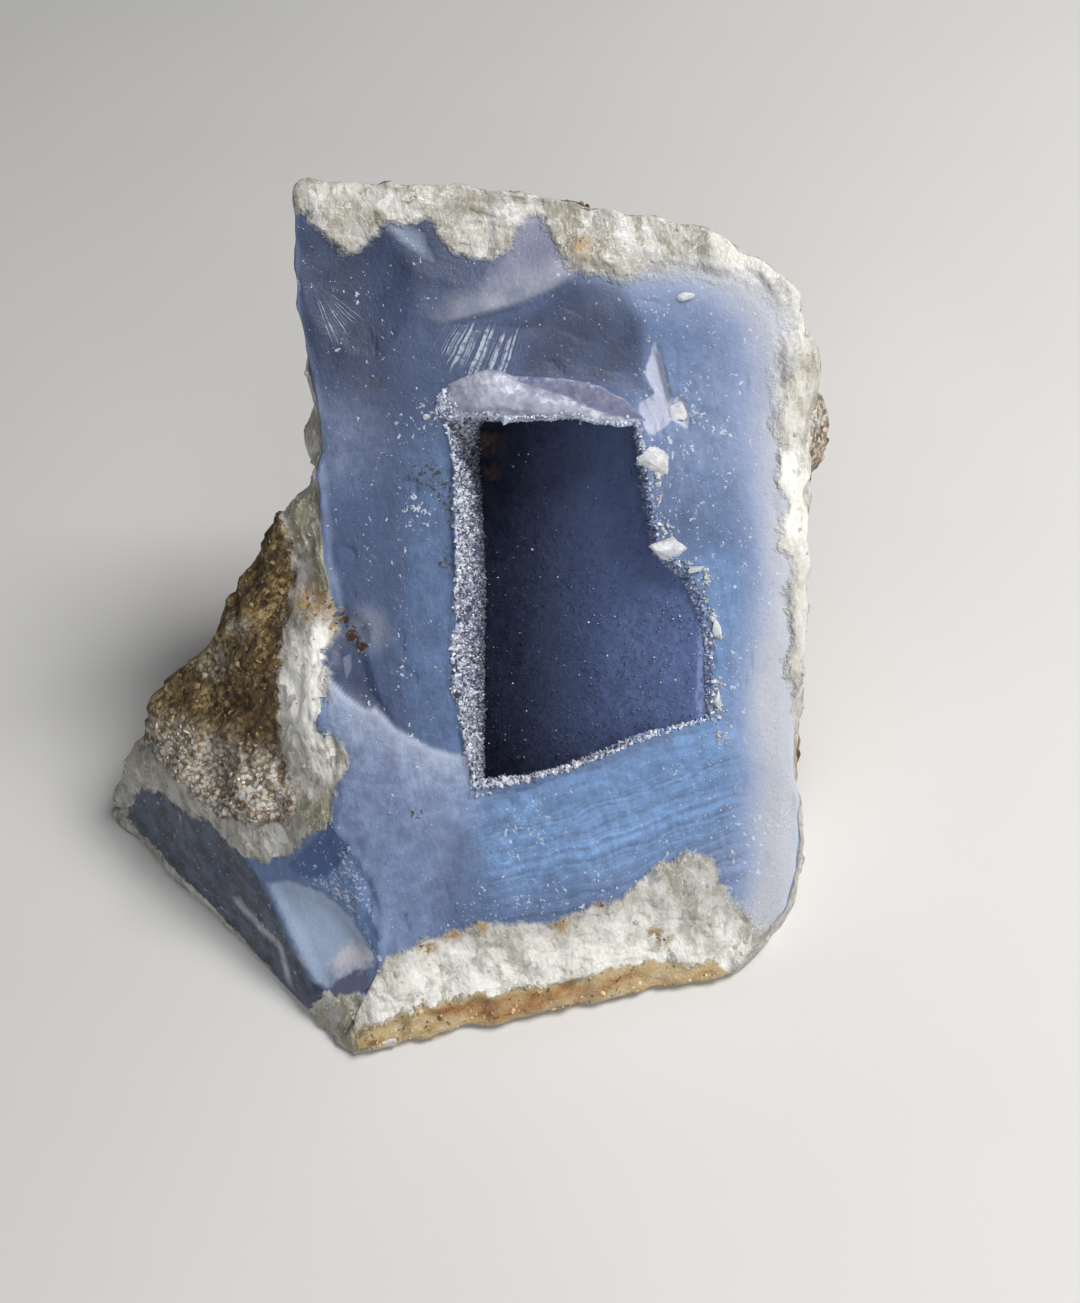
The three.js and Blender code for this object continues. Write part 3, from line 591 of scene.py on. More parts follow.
def blue_tints(place, local, face, within, spot):
    """The tints and marks of the chalcedony, with its painted shade and glow: numbers from 0 to 1, signed
    distances for the marked patches, the distance from the hollow, and the angle in a fan of lines."""
    u, v = place[..., 0], place[..., 1]
    side = 1 - face
    from_edge = inside(place, OUTLINE)
    # margin: paler toward the right outline, partly milky chalcedony and partly painted glow
    margin = (1 - smooth(from_edge, 1.5, 9 + 3 * smooth(v, 48, 60))) * smooth(u, 14, 23) + 0.35 * (
        (1 - smooth(from_edge, 0, 1.2)) * (u < -5) * smooth(v, 40, 52))
    step = beyond(place, STEP_LINE)
    lower = (1 - smooth(step, -0.3, 0.25)) * (1 - smooth(u + 0.6 * (30 - v), -4, 4)) * (v < 47)
    near_step = np.exp(-np.abs(step) / 4.5)
    cloudy = face * (lower * (0.35 + 0.65 * near_step) + 0.35 * spot["cloudy"])
    slate = smooth(within["slate"], -0.5, 1.2) + 0.8 * smooth(within["notch"], -0.1, 0.3)
    slate = slate + 0.8 * spot["slate"]
    hollow = -inside(place, CRUST_EDGE)
    beside = 1 - smooth(hollow + 0.7 * noise(local, 6), 2.6, 5.2)
    left = (u < 6) * smooth(v, 27, 33) * (1 - smooth(v, 60, 68))
    below = (1 - smooth(v, 27, 31)) * smooth(u, -6, 0)
    right = (u > 18) * (1 - smooth(v, 46, 49)) * smooth(v, 22, 30)
    sky = (0.3 * beside * left + 0.85 * (1 - smooth(hollow, 7, 15)) * below
           + 0.55 * beside * right)
    lined = 0.5 * left * (1 - smooth(hollow, 6, 10)) + below + 0.5 * right
    milky = np.max([0.5 * face * crescent(place), 0.3 * face * spot["milky"],
                    0.5 * lower * face * np.exp(-np.abs(step) / 1.8),
                    0.8 * side * (1 - smooth(np.abs(beyond(place, RIDGE)), 0.1, 0.4))], axis=0)
    fan, fan_turn = hackles(place, **RIGHT_FAN)
    left_fan, left_turn = hackles(place, **LEFT_FAN)
    fan = fan * (1 - smooth(v + 0.33 * (u - 6.2) + 0.8 * noise(local, 1.2), 72.9, 74.9))
    fan_turn = np.where(left_fan > fan, left_turn / 2.9 + 50, fan_turn)
    marks = {name: np.where(face < 0.5, within[name], -3.0) for name in (
        "scoop", "royal", "glitter", "purple", "white_low")}
    marks.update({name: np.where(face > 0.5, within[name], -3.0) for name in (
        "scar", "feather", "pane", "veil")})
    # Painted shade: dark is the shaded copy of the blue on the left facet, which faces away from the light,
    # and a darker, greyer top left of the face
    dark = side * (1 - smooth(beyond(place, FACET_EDGE), -0.2, 0.2)) + 0.52 * face * spot["dark"]
    # deep: partly the chalcedony's own deeper blue, partly painted shade that darkens the face toward its
    # left and top
    deep = face * (1 - smooth(u - 0.05 * v, -6, 14)) * (1 - 0.5 * lower) * smooth(v, 15, 30)
    deep = (0.9 * deep + 0.7 * face * smooth(v, 58, 72) * (1 - smooth(u, 14, 30))
            + 0.3 * face * spot["deep"])
    flecks = face * np.clip(0.06 + 0.5 * smooth(u, 12, 24) + 0.5 * smooth(24 - v, 0, 8)
                            + spot["flecks"] - 0.4 * lower
                            - 0.45 * smooth(within["slate"], 0, 2), 0, 1)
    lines = np.exp(-((hollow - 4.4) / 0.5) ** 2) + np.exp(-((hollow - 7.6) / 0.5) ** 2)
    # The extra flecks in the glitter and royal patches and on the left facet are painted glints; the rest
    # are white bruises
    flecks = (flecks + 0.6 * face * left * lines + 1.4 * smooth(marks["glitter"], -0.3, 0.3)
              + 0.6 * smooth(marks["royal"], -0.3, 0.3) + 0.35 * dark)
    return {"margin": np.clip(margin * face, 0, 1), "cloudy": np.clip(cloudy, 0, 1),
            "slate": np.clip(slate * face, 0, 1), "sky": face * np.clip(sky, 0, 1),
            "lined": face * np.clip(lined, 0, 1), "milky": milky, "rusty": face * spot["rusty"],
            "fan": np.maximum(fan, 0.75 * left_fan) * face, "fan_turn": fan_turn, "dark": dark,
            "deep": np.clip(deep, 0, 1), "flecks": np.clip(flecks, 0, 1.6),
            "specks": spot["specks"] * face, "hollow": hollow, **marks}


def rough_tints(points, place, face, share, within, spot, tan):
    """The tints of the quartz and of the skin, from 0 to 1, and how soft the quartz's border is in
    millimetres."""
    u, v = place[..., 0], place[..., 1]
    side = 1 - face
    foot = smooth(beyond(place, FOOT_LINE), -1, 2) * (v < 22) * smooth(tan, -9, -2)
    smoky = np.maximum(within["smoky"], np.maximum(within["olive"], within["low_olive"]))
    waves = noise(points - ORIGIN_SHIFT, 4.5)
    green = (0.75 * foot * smooth(waves, 0.0, 0.6) + smooth(smoky, -0.3, 0.6)
             + 0.5 * spot["green"] + 0.9 * spot["greenest"] + 0.1 * side * share["right"])
    cream = smooth(within["cream"], -3.2, 0.6) + spot["cream"] + 0.6 * spot["pale_cream"]
    # bright: white quartz, made near white partly as painted light, where the flank's white patch and the
    # foot catch more light
    bright = np.max([side * smooth(within["white"], -0.6, 0.8), 0.95 * foot * face,
                     smooth(within["white_edge"], -0.5, 0.8) * face,
                     0.5 * smooth(u, 28, 34) * smooth(v, 24, 32)], axis=0)
    return {"stain": spot["stain"], "green": np.clip(green, 0, 1), "bright": bright,
            "cream": np.clip(cream, 0, 1) * side,
            "umber": smooth(within["umber"], -1.5, 1.5) * side,
            "rust": smooth(within["rust"], -0.8, 0.4),
            "tan": smooth(tan, -1.5, -0.5) * (v < 12) * (points[..., 1] < -10),
            "soft": 0.35 + face * (0.3 + 1.8 * smooth(u, 20, 27) * smooth(v, 54, 64))}


def zones(points, face):
    """What the material and the roughness need at points of the stone. face is 1 on the broken
    face and 0 behind its outline."""
    place = seen(points)
    share = shares(points)
    within = {name: inside(place, corners) for name, corners in PATCH.items()}
    spot = {name: spots(place, middles) for name, middles in SPOTS.items()}
    quartz, skin, tan = quartz_and_skin(points, place, face, share, within)
    return {"place": place, "share": share, "quartz": quartz, "skin": skin,
            **blue_tints(place, points - ORIGIN_SHIFT, face, within, spot),
            **rough_tints(points, place, face, share, within, spot, tan)}


def hackles(place, middle, heading, spread, near, far):
    """Feathered fracture lines that fan out from a point: the mask of the fan about its heading,
    between two distances, and the angle of each place about the point, in degrees."""
    away = place - np.array(middle)
    distance = np.hypot(away[..., 0], away[..., 1])
    turn = np.degrees(np.arctan2(away[..., 1], away[..., 0])) - heading
    turn = (turn + 180) % 360 - 180
    fan = 1 - smooth(np.abs(turn) / spread, 0.6, 1)
    along = smooth(distance, near, near + 2.5) * (1 - smooth(distance, far - 2.5, far))
    return fan * along, turn


def face_and_rim(angles):
    """The rows of the stone from the middle of the hollow's floor to its outline: the floor and
    wall behind the lining, then the broken face with its relief."""
    inner, outer = reach(MOUTH, angles), reach(CRUST_EDGE, angles)
    rim = inner + RIM_COVER * (outer - inner) * rim_share(angles)
    further = CRUST_WALL + GAP
    bottom = reach(FLOOR_EDGE, angles) + further
    spread = np.linspace(0, 1, STONE["floor"] + 1)[:, None]
    floor = floor_point(bottom * spread, angles, further)
    top = on_face(*around(rim, angles))
    climb = np.linspace(0, 1, STONE["wall"] + 1)[1:, None, None]
    wall = floor[-1] + (top - floor[-1]) * climb
    part = np.arange(1, STONE["face"] + 1)[:, None] / STONE["face"]
    u, v = around(rim + (reach(OUTLINE, angles) - rim) * part, angles)
    face = on_face(u, v, relief(u, v) * smooth(part, 0, 0.05))
    return np.concatenate([floor, wall, face]), len(floor) + len(wall)


def roughness(grid, field):
    """Height in millimetres along the normals: grains on the quartz, fibres and pits on the skin,
    fine waves, nicks and feathered lines on the chalcedony."""
    local = grid - ORIGIN_SHIFT
    coarse, _ = grains(local, 2.3)
    middle, _ = grains(local, 1.15, 3.0)
    wide, _ = grains(local, 4.6, 6.0)
    columns = drawn_out(local, FACE_UP, 1.8)
    crystal = (0.38 * noise(local, 4.2) + 0.2 * wide + 0.15 * coarse + 0.08 * middle
               + 0.16 * noise(columns, 1.5) - 0.15 * np.abs(noise(local, 2.7)))
    fibres = drawn_out(local, FIBRES, 4.5)
    pitted = (0.6 * noise(fibres, 1.5) + 0.3 * noise(fibres, 0.8) + 0.4 * fractal(local, 3.2, 2)
              - 0.7 * np.abs(noise(local, 3.1)) ** 0.8 + 0.25 + 0.14 * middle
              + 0.25 * field["cream"] * (coarse + middle))
    nicks, _ = grains(local, 2.6, 8.0)
    waves = 0.06 * noise(local, 3.2) + 0.02 * noise(local, 1.1) - 0.12 * smooth(nicks, 0.62, 0.95)
    bruised = (field["dark"] * 0.35 * fractal(drawn_out(local, FIBRES, 2.0), 4, 3)
               - 0.5 * smooth(field["scoop"], -0.1, 1.4)
               + 0.25 * smooth(field["glitter"], -0.2, 0.5) * middle)
    quartz = smooth(field["quartz"] + 0.5 * noise(local, 1.5), -0.3, 0.6)
    skin = smooth(field["skin"] + 0.5 * noise(local, 1.5), -0.3, 0.6)
    quartz = quartz * (1 - skin)
    blue = (1 - quartz) * (1 - skin)
    return quartz * (crystal + 0.1) + skin * pitted + blue * (waves + bruised)


def rounded(grid, first, last, rounds):
    """Rounds off the crease in a band of rows: again and again, each point moves halfway to the
    middle of the points before and after it in its column."""
    for _ in range(rounds):
        middle = (grid[first - 1:last - 1] + grid[first + 1:last + 1]) / 2
        grid[first:last] += 0.5 * (middle - grid[first:last])
    return grid


def stone_surface():
    """Rows of points from the middle of the hollow's floor out over the broken face and the sides
    to the back pole, with the zones at each. Each row goes once round the hollow. Lumps and
    roughness stand along the surface's normals."""
    angles = even_angles(STONE["columns"], OUTLINE, SHARP_CORNERS, 0.7)
    front, covered = face_and_rim(angles)
    grid = np.concatenate([front, side_rows(front[-1], STONE["side"])])
    first_side = len(front)
    grid = rounded(grid, first_side - 3, first_side + 6, 6)
    order = np.arange(len(grid))[:, None]
    level = np.ones(len(angles))
    face = (1 - smooth(order, first_side - 1.5, first_side + 1.5)) * level
    field = zones(grid, face)
    normal = grid_normals(grid)
    local = grid - ORIGIN_SHIFT
    share = field["share"]
    ramp = smooth(order, first_side - 1, first_side + 3)
    rough_share = sum(share[name] for name in (
        "flank", "back_left", "back", "back_right", "right", "upper_left", "top"))
    height = np.zeros(grid.shape[:-1])
    for middle, size, tall in LUMPS:
        away = np.linalg.norm(local - np.array(middle), axis=-1) / size
        height += tall * np.clip(1 - away ** 2, 0, 1) ** 2
    height += rough_share * (0.75 * noise(local, 7) + 0.4 * noise(local, 3.4))
    height += (1 - rough_share) * 0.25 * noise(local, 6)
    off_base = 1 - share["base"]
    open_rows = smooth(order, covered - 0.5, covered + 3)
    height = height * ramp + roughness(grid, field) * open_rows
    u, v = field["place"][..., 0], field["place"][..., 1]
    edge_chips = (0.34 + 0.25 * (u < -3)) * (1 - 0.6 * smooth(v, 82, 87)) * fractal(local, 2.6, 2) - 0.05
    near_outline = np.exp(-((order - first_side + 0.5) / 5.0) ** 2)
    grid = grid + normal * ((height + edge_chips * near_outline) * off_base)[..., None]
    low = (order >= first_side) & (grid[..., 2] < BASE_LEVEL)
    grid[..., 2] = np.where(low, 0.0, np.maximum(grid[..., 2], 0.0))
    grid[0] = grid[0].mean(axis=0)
    grid[-1] = grid[-1].mean(axis=0)
    field["shown"] = ((order > covered) & (order < len(grid) - 1)) * level
    return grid, field


def rim_share(angles):
    """How much of its full width the lining's rim keeps: little along the hollow's right edge and
    under the lip, and ragged elsewhere."""
    place = np.stack([*around(reach(MOUTH, angles), angles), 0 * angles], axis=-1)
    ragged = 0.75 + 0.35 * noise(place, 2.2) + 0.2 * noise(place, 0.9)
    right = smooth(np.cos(angles), 0.5, 0.72)
    upper = smooth(np.sin(angles), 0.75, 0.9)
    below = smooth(-np.sin(angles), 0.5, 0.8)
    left = smooth(-np.cos(angles), 0.3, 0.6)
    return (np.clip(ragged, 0.3, 1.2) * (1 - 0.7 * right) * (1 - 0.6 * upper) * (1 - 0.4 * below)
            * (1 - 0.15 * left))


def lining_surface():
    """The crust that lines the hollow, a closed shell: from the middle of its floor up the walls,
    over the rim, whose ragged outer edge dips into the face, and back behind the walls to the
    middle of its underside."""
    angles = even_angles(LINING["columns"], MOUTH, MOUTH_CORNERS)
    inner = reach(MOUTH, angles)
    kept = rim_share(angles)
    outer = inner + (reach(CRUST_EDGE, angles) - inner) * kept
    bottom = reach(FLOOR_EDGE, angles) - 0.8 * smooth(np.cos(angles), 0.5, 0.72)
    lip = 0.22 * kept
    spread = np.linspace(0, 1, LINING["floor"] + 1)
    floor = floor_point(bottom * spread[:, None], angles)
    edge = on_face(*around(inner, angles), -0.15)
    climb = np.linspace(0, 1, LINING["wall"] + 1)[1:, None, None]
    wall = floor[-1] + (edge - floor[-1]) * climb
    turn = np.linspace(0, 1, LINING["rim"] + 1)[1:, None]
    u, v = around(inner + (outer - inner) * turn, angles)
    rim = on_face(u, v, -0.15 + (lip + 0.15) * np.sin(turn * math.pi * 0.5) - (lip + 0.5) * turn ** 4)
    under = floor_point(bottom + CRUST_WALL, angles, CRUST_WALL)
    drop = np.linspace(0, 1, LINING["back"] + 1)[1:, None, None]
    back = rim[-1] + (under - rim[-1]) * drop
    shrink = np.array([0.66, 0.33, 0.0])[:, None]
    underside = floor_point((bottom + CRUST_WALL) * shrink, angles, CRUST_WALL)
    grid = np.concatenate([floor, wall, rim, back, underside])
    normal = grid_normals(grid)
    order = np.arange(len(grid))
    shown = len(floor) + len(wall) + len(rim)
    fade = (1 - smooth(order, shown - 3, shown))[:, None] * (0.35 + 0.65 * kept)
    lumps = 0.2 * noise(grid, 3.0) + 0.07 * noise(grid, 1.2)
    tops, _ = grains(grid, 0.62)
    grid = grid + normal * ((lumps + 0.06 * tops) * fade)[..., None]
    depth = -((grid - FACE_FOOT) @ FACE_OUT)
    level = np.ones(len(angles))
    on_wall = ((order >= len(floor)) & (order < shown))[:, None] * level
    on_rim = ((order >= len(floor) + len(wall)) & (order < shown))[:, None] * level
    grid[0] = grid[0].mean(axis=0)
    grid[-1] = grid[-1].mean(axis=0)
    frost = on_wall * (0.12 + 0.42 * (1 - smooth(depth, 1, 12))) + on_rim * 0.1
    frost = frost * (1 - 0.6 * smooth(np.cos(angles), 0.5, 0.72))
    return grid, {"depth": depth, "wall": on_wall, "frost": np.clip(frost, 0, 1), "place": seen(grid)}


def ring_faces(rows, columns):
    """The faces of a closed surface: rows of points that go once round, between two single points
    at its ends."""
    ids = 1 + np.arange(rows * columns).reshape(rows, columns)
    after = np.roll(ids, -1, axis=1)
    last = rows * columns + 1
    first_fan = np.stack([np.zeros_like(ids[0]), ids[0], after[0]], axis=-1)
    quads = np.stack([ids[:-1], ids[1:], after[1:], after[:-1]], axis=-1).reshape(-1, 4)
    last_fan = np.stack([ids[-1], np.full_like(ids[-1], last), after[-1]], axis=-1)
    return [first_fan, quads, last_fan]


def closed_mesh(name, grid, fields):
    """A closed mesh from rows of points that each go once round: the first and last rows are one
    point each. fields are numbers per point, kept as attributes."""
    rows, columns = grid.shape[:2]
    points = np.concatenate([grid[0, :1], grid[1:-1].reshape(-1, 3), grid[-1, :1]]) * MM
    flat_fields = {key: np.concatenate([value[0, :1], value[1:-1].reshape(-1), value[-1, :1]])
                   for key, value in fields.items()}
    return make_mesh(name, points, ring_faces(rows - 2, columns), flat_fields)


def make_mesh(name, points, face_sets, fields, flat=False):
    """A mesh object from points in metres, arrays of faces and numbers per point."""
    mesh = bpy.data.meshes.new(name)
    loops = np.concatenate([faces.reshape(-1) for faces in face_sets])
    totals = np.concatenate([np.full(len(faces), faces.shape[1]) for faces in face_sets])
    mesh.vertices.add(len(points))
    mesh.vertices.foreach_set("co", points.astype(np.float32).reshape(-1))
    mesh.loops.add(len(loops))
    mesh.loops.foreach_set("vertex_index", loops.astype(np.int32))
    mesh.polygons.add(len(totals))
    starts = np.append(0, np.cumsum(totals)[:-1])
    mesh.polygons.foreach_set("loop_start", starts.astype(np.int32))
    mesh.update(calc_edges=True)
    mesh.polygons.foreach_set("use_smooth", np.full(len(totals), not flat))
    for key, values in fields.items():
        layer = mesh.attributes.new(key, "FLOAT", "POINT")
        layer.data.foreach_set("value", values.astype(np.float32))
    mesh.validate()
    piece = bpy.data.objects.new(name, mesh)
    bpy.context.scene.collection.objects.link(piece)
    return piece


def sample(grid, weight, count, rng):
    """Random places on a grid's cells, chosen by their area times the weight at their corner:
    points, normals, and the row and column of each."""
    across = grid[1:] - grid[:-1]
    along = np.roll(grid, -1, axis=1) - grid
    area = np.linalg.norm(np.cross(across, along[:-1]), axis=-1)
    chance = (area * weight[:-1]).reshape(-1)
    total = np.cumsum(chance)
    picked = np.searchsorted(total, rng.random(count) * total[-1])
    row, column = np.unravel_index(np.minimum(picked, len(total) - 1), area.shape)
    beside = (column + 1) % grid.shape[1]
    down, right = rng.random(count)[:, None], rng.random(count)[:, None]
    near = grid[row, column] * (1 - right) + grid[row, beside] * right
    far = grid[row + 1, column] * (1 - right) + grid[row + 1, beside] * right
    normal = grid_normals(grid)[row, column]
    return near * (1 - down) + far * down, normal, row, column


def turned(normals, lean, rng):
    """Axes for pieces that stand along normals, each leaned by a random share of lean and turned
    at random about itself: arrays (count, 3, 3) with the axes as rows."""
    up = unit(normals + lean * rng.normal(size=normals.shape))
    side = unit(np.cross(up, rng.normal(size=normals.shape)))
    return np.stack([side, np.cross(up, side), up], axis=1)


CRYSTAL_SIDES = 6
CRYSTAL_TIP = 1.15  # height of a crystal's tip over its ring, in the ring's radii
CRYSTAL_ROOT = -0.8


def crystal_shape():
    """A quartz point: a six-sided ring with a tip above it and a shorter one below."""
    angles = np.arange(CRYSTAL_SIDES) / CRYSTAL_SIDES * 2 * math.pi
    ring = np.stack([np.cos(angles), np.sin(angles), np.zeros(CRYSTAL_SIDES)], axis=-1)
    points = np.concatenate([ring, [[0, 0, CRYSTAL_TIP]], [[0, 0, CRYSTAL_ROOT]]])
    here = np.arange(CRYSTAL_SIDES)
    after = (here + 1) % CRYSTAL_SIDES
    tip = np.full(CRYSTAL_SIDES, CRYSTAL_SIDES)
    root = np.full(CRYSTAL_SIDES, CRYSTAL_SIDES + 1)
    faces = np.concatenate([np.stack([here, after, tip], -1), np.stack([after, here, root], -1)])
    return points, faces


def crystal_sizes(width, tall):
    """Sizes (count, 3) of crystals that are width wide and tall times as high."""
    return width[:, None] * np.stack([np.ones_like(tall), np.ones_like(tall), tall], axis=-1)


CHIP_PLANES = 9
CHIP_REACH = 1.15  # the furthest that a chip's radius may be


def chip_shapes(count, columns, rows, rng, nearest=0.5, furthest=0.95):
    """Broken grains: balls whose radius is cut back by nine random planes at distances from
    nearest to furthest, so that each is a small closed block with flat sides. Points (count, n, 3)
    and the faces of one."""
    polar = np.linspace(0, math.pi, rows + 1)[1:-1, None]
    turn = np.arange(columns) / columns * 2 * math.pi + 0 * polar
    middle = np.stack([np.sin(polar) * np.cos(turn), np.sin(polar) * np.sin(turn),
                       np.cos(polar) + 0 * turn], axis=-1).reshape(-1, 3)
    ball = np.concatenate([[[0, 0, 1.0]], middle, [[0, 0, -1.0]]])
    planes = unit(rng.normal(size=(count, CHIP_PLANES, 3)))
    away = rng.uniform(nearest, furthest, size=(count, CHIP_PLANES, 1))
    facing = np.einsum("ckx,nx->ckn", planes, ball)
    cut = np.where(facing > 0.05, away / np.maximum(facing, 0.05), CHIP_REACH)
    radius = np.minimum(cut.min(axis=1), CHIP_REACH)
    points = ball[None] * radius[..., None]
    return points, ring_faces(rows - 1, columns)


def scattered(name, shapes, face_sets, places, axes, sizes, fields):
    """Many small closed pieces joined into one mesh: a shape or shapes (count, n, 3), scaled by
    sizes (count, 3), turned to axes and moved to places. fields hold one number per piece."""
    count = len(places)
    shapes = np.broadcast_to(shapes, (count,) + np.shape(shapes)[-2:])
    points = np.einsum("cnx,cxy->cny", shapes * sizes[:, None, :], axes) + places[:, None, :]
    points[..., 2] = np.maximum(points[..., 2], 0.0)
    each = shapes.shape[1]
    start = (np.arange(count) * each)[:, None, None]
    all_faces = [(faces[None] + start).reshape(-1, faces.shape[1]) for faces in face_sets]
    spread = {key: np.repeat(value, each) for key, value in fields.items()}
    return make_mesh(name, points.reshape(-1, 3) * MM, all_faces, spread, flat=True)


LIP_UPPER = np.array([
    [2.6, 66.6], [2.9, 67.7], [4.3, 68.5], [6, 68.9], [7.8, 69.1], [9.1, 68.8], [10.1, 68], [12.3, 67.4],
    [14.5, 66.9], [16.2, 66.2], [18, 65.4], [18.9, 64.5], [20, 63.7], [20.9, 62.4], [21.6, 61.3]])
LIP_LOWER = np.array([
    [2.6, 66.6], [3, 65.9], [3.6, 65.1], [4.3, 65.2], [5.3, 65.4], [7.1, 64.8], [9.1, 64], [10.5, 63.9],
    [11.9, 63.8], [13.3, 63.3], [14, 63.5], [15.2, 63], [16.9, 62.1], [18.7, 61.6], [20.7, 61],
    [21.6, 61.3]])
LIP_STEPS = {"along": 260, "round": 88}
LIP_SWELL = 1.7  # how far the lip stands out of the face


def along_line(line, part):
    """The point at each part, from 0 to 1, of the way along a line of points."""
    lengths = np.append(0, np.cumsum(np.linalg.norm(np.diff(line, axis=0), axis=1)))
    return np.stack([np.interp(part * lengths[-1], lengths, line[:, axis]) for axis in range(2)], -1)


def lip_surface():
    """The bulging lip over the hollow's upper edge: at each step between its upper and lower
    borders a rounded section, as wide as they are apart, closed to a point at both ends. Its white
    part swells out of the face with the root of the distance from its border, its tan upper layer
    stays low, and its underside hangs into the hollow."""
    part = (1 - np.cos(np.linspace(0, math.pi, LIP_STEPS["along"] + 1))) / 2
    upper, lower = along_line(LIP_UPPER, part), along_line(LIP_LOWER, part)
    turn = np.arange(LIP_STEPS["round"]) / LIP_STEPS["round"] * 2 * math.pi
    swell = np.sin(math.pi * part) ** 0.5
    across = np.sign(np.cos(turn)) * np.abs(np.cos(turn)) ** 0.75
    middle = (upper + lower) / 2
    half = (upper - lower) / 2
    place = middle[:, None, :] + half[:, None, :] * across[None, :, None]
    white = inside(place, PATCH["lip_white"])
    proud = 0.35 + LIP_SWELL * np.sqrt(np.clip(white / 2.4, 0, 1)) * (1 - 0.45 * part[:, None])
    deep = swell * (3.0 - 1.4 * part)
    up = np.sin(turn)[None] * np.ones(len(part))[:, None]
    rise = np.where(up > 0, proud * swell[:, None] * np.abs(up) ** 0.6, deep[:, None] * up)
    grid = on_face(place[..., 0], place[..., 1], rise)
    normal = grid_normals(grid)
    fade = np.clip(swell * 1.6, 0, 1)[:, None]
    tops, _ = grains(grid, 0.8, 2.0)
    small, _ = grains(grid, 0.4, 5.0)
    bulge = smooth(white, -0.1, 0.5)
    sugar = 0.3 + 1.8 * (1 - smooth(white, 0.2, 1.0))
    lumps = (bulge * (0.26 * noise(grid, 2.6) + 0.1 * noise(grid, 1.1))
             + bulge * (0.06 * tops + 0.04 * small) * sugar)
    grid = grid + normal * ((lumps + 0.08 * noise(grid, 0.9)) * fade)[..., None]
    grid[0] = grid[0].mean(axis=0)
    grid[-1] = grid[-1].mean(axis=0)
    return grid, {"layer": 1 - smooth(white, -0.25, 0.15)}


SHARED = {}  # the shader groups, by the name of the function that makes each


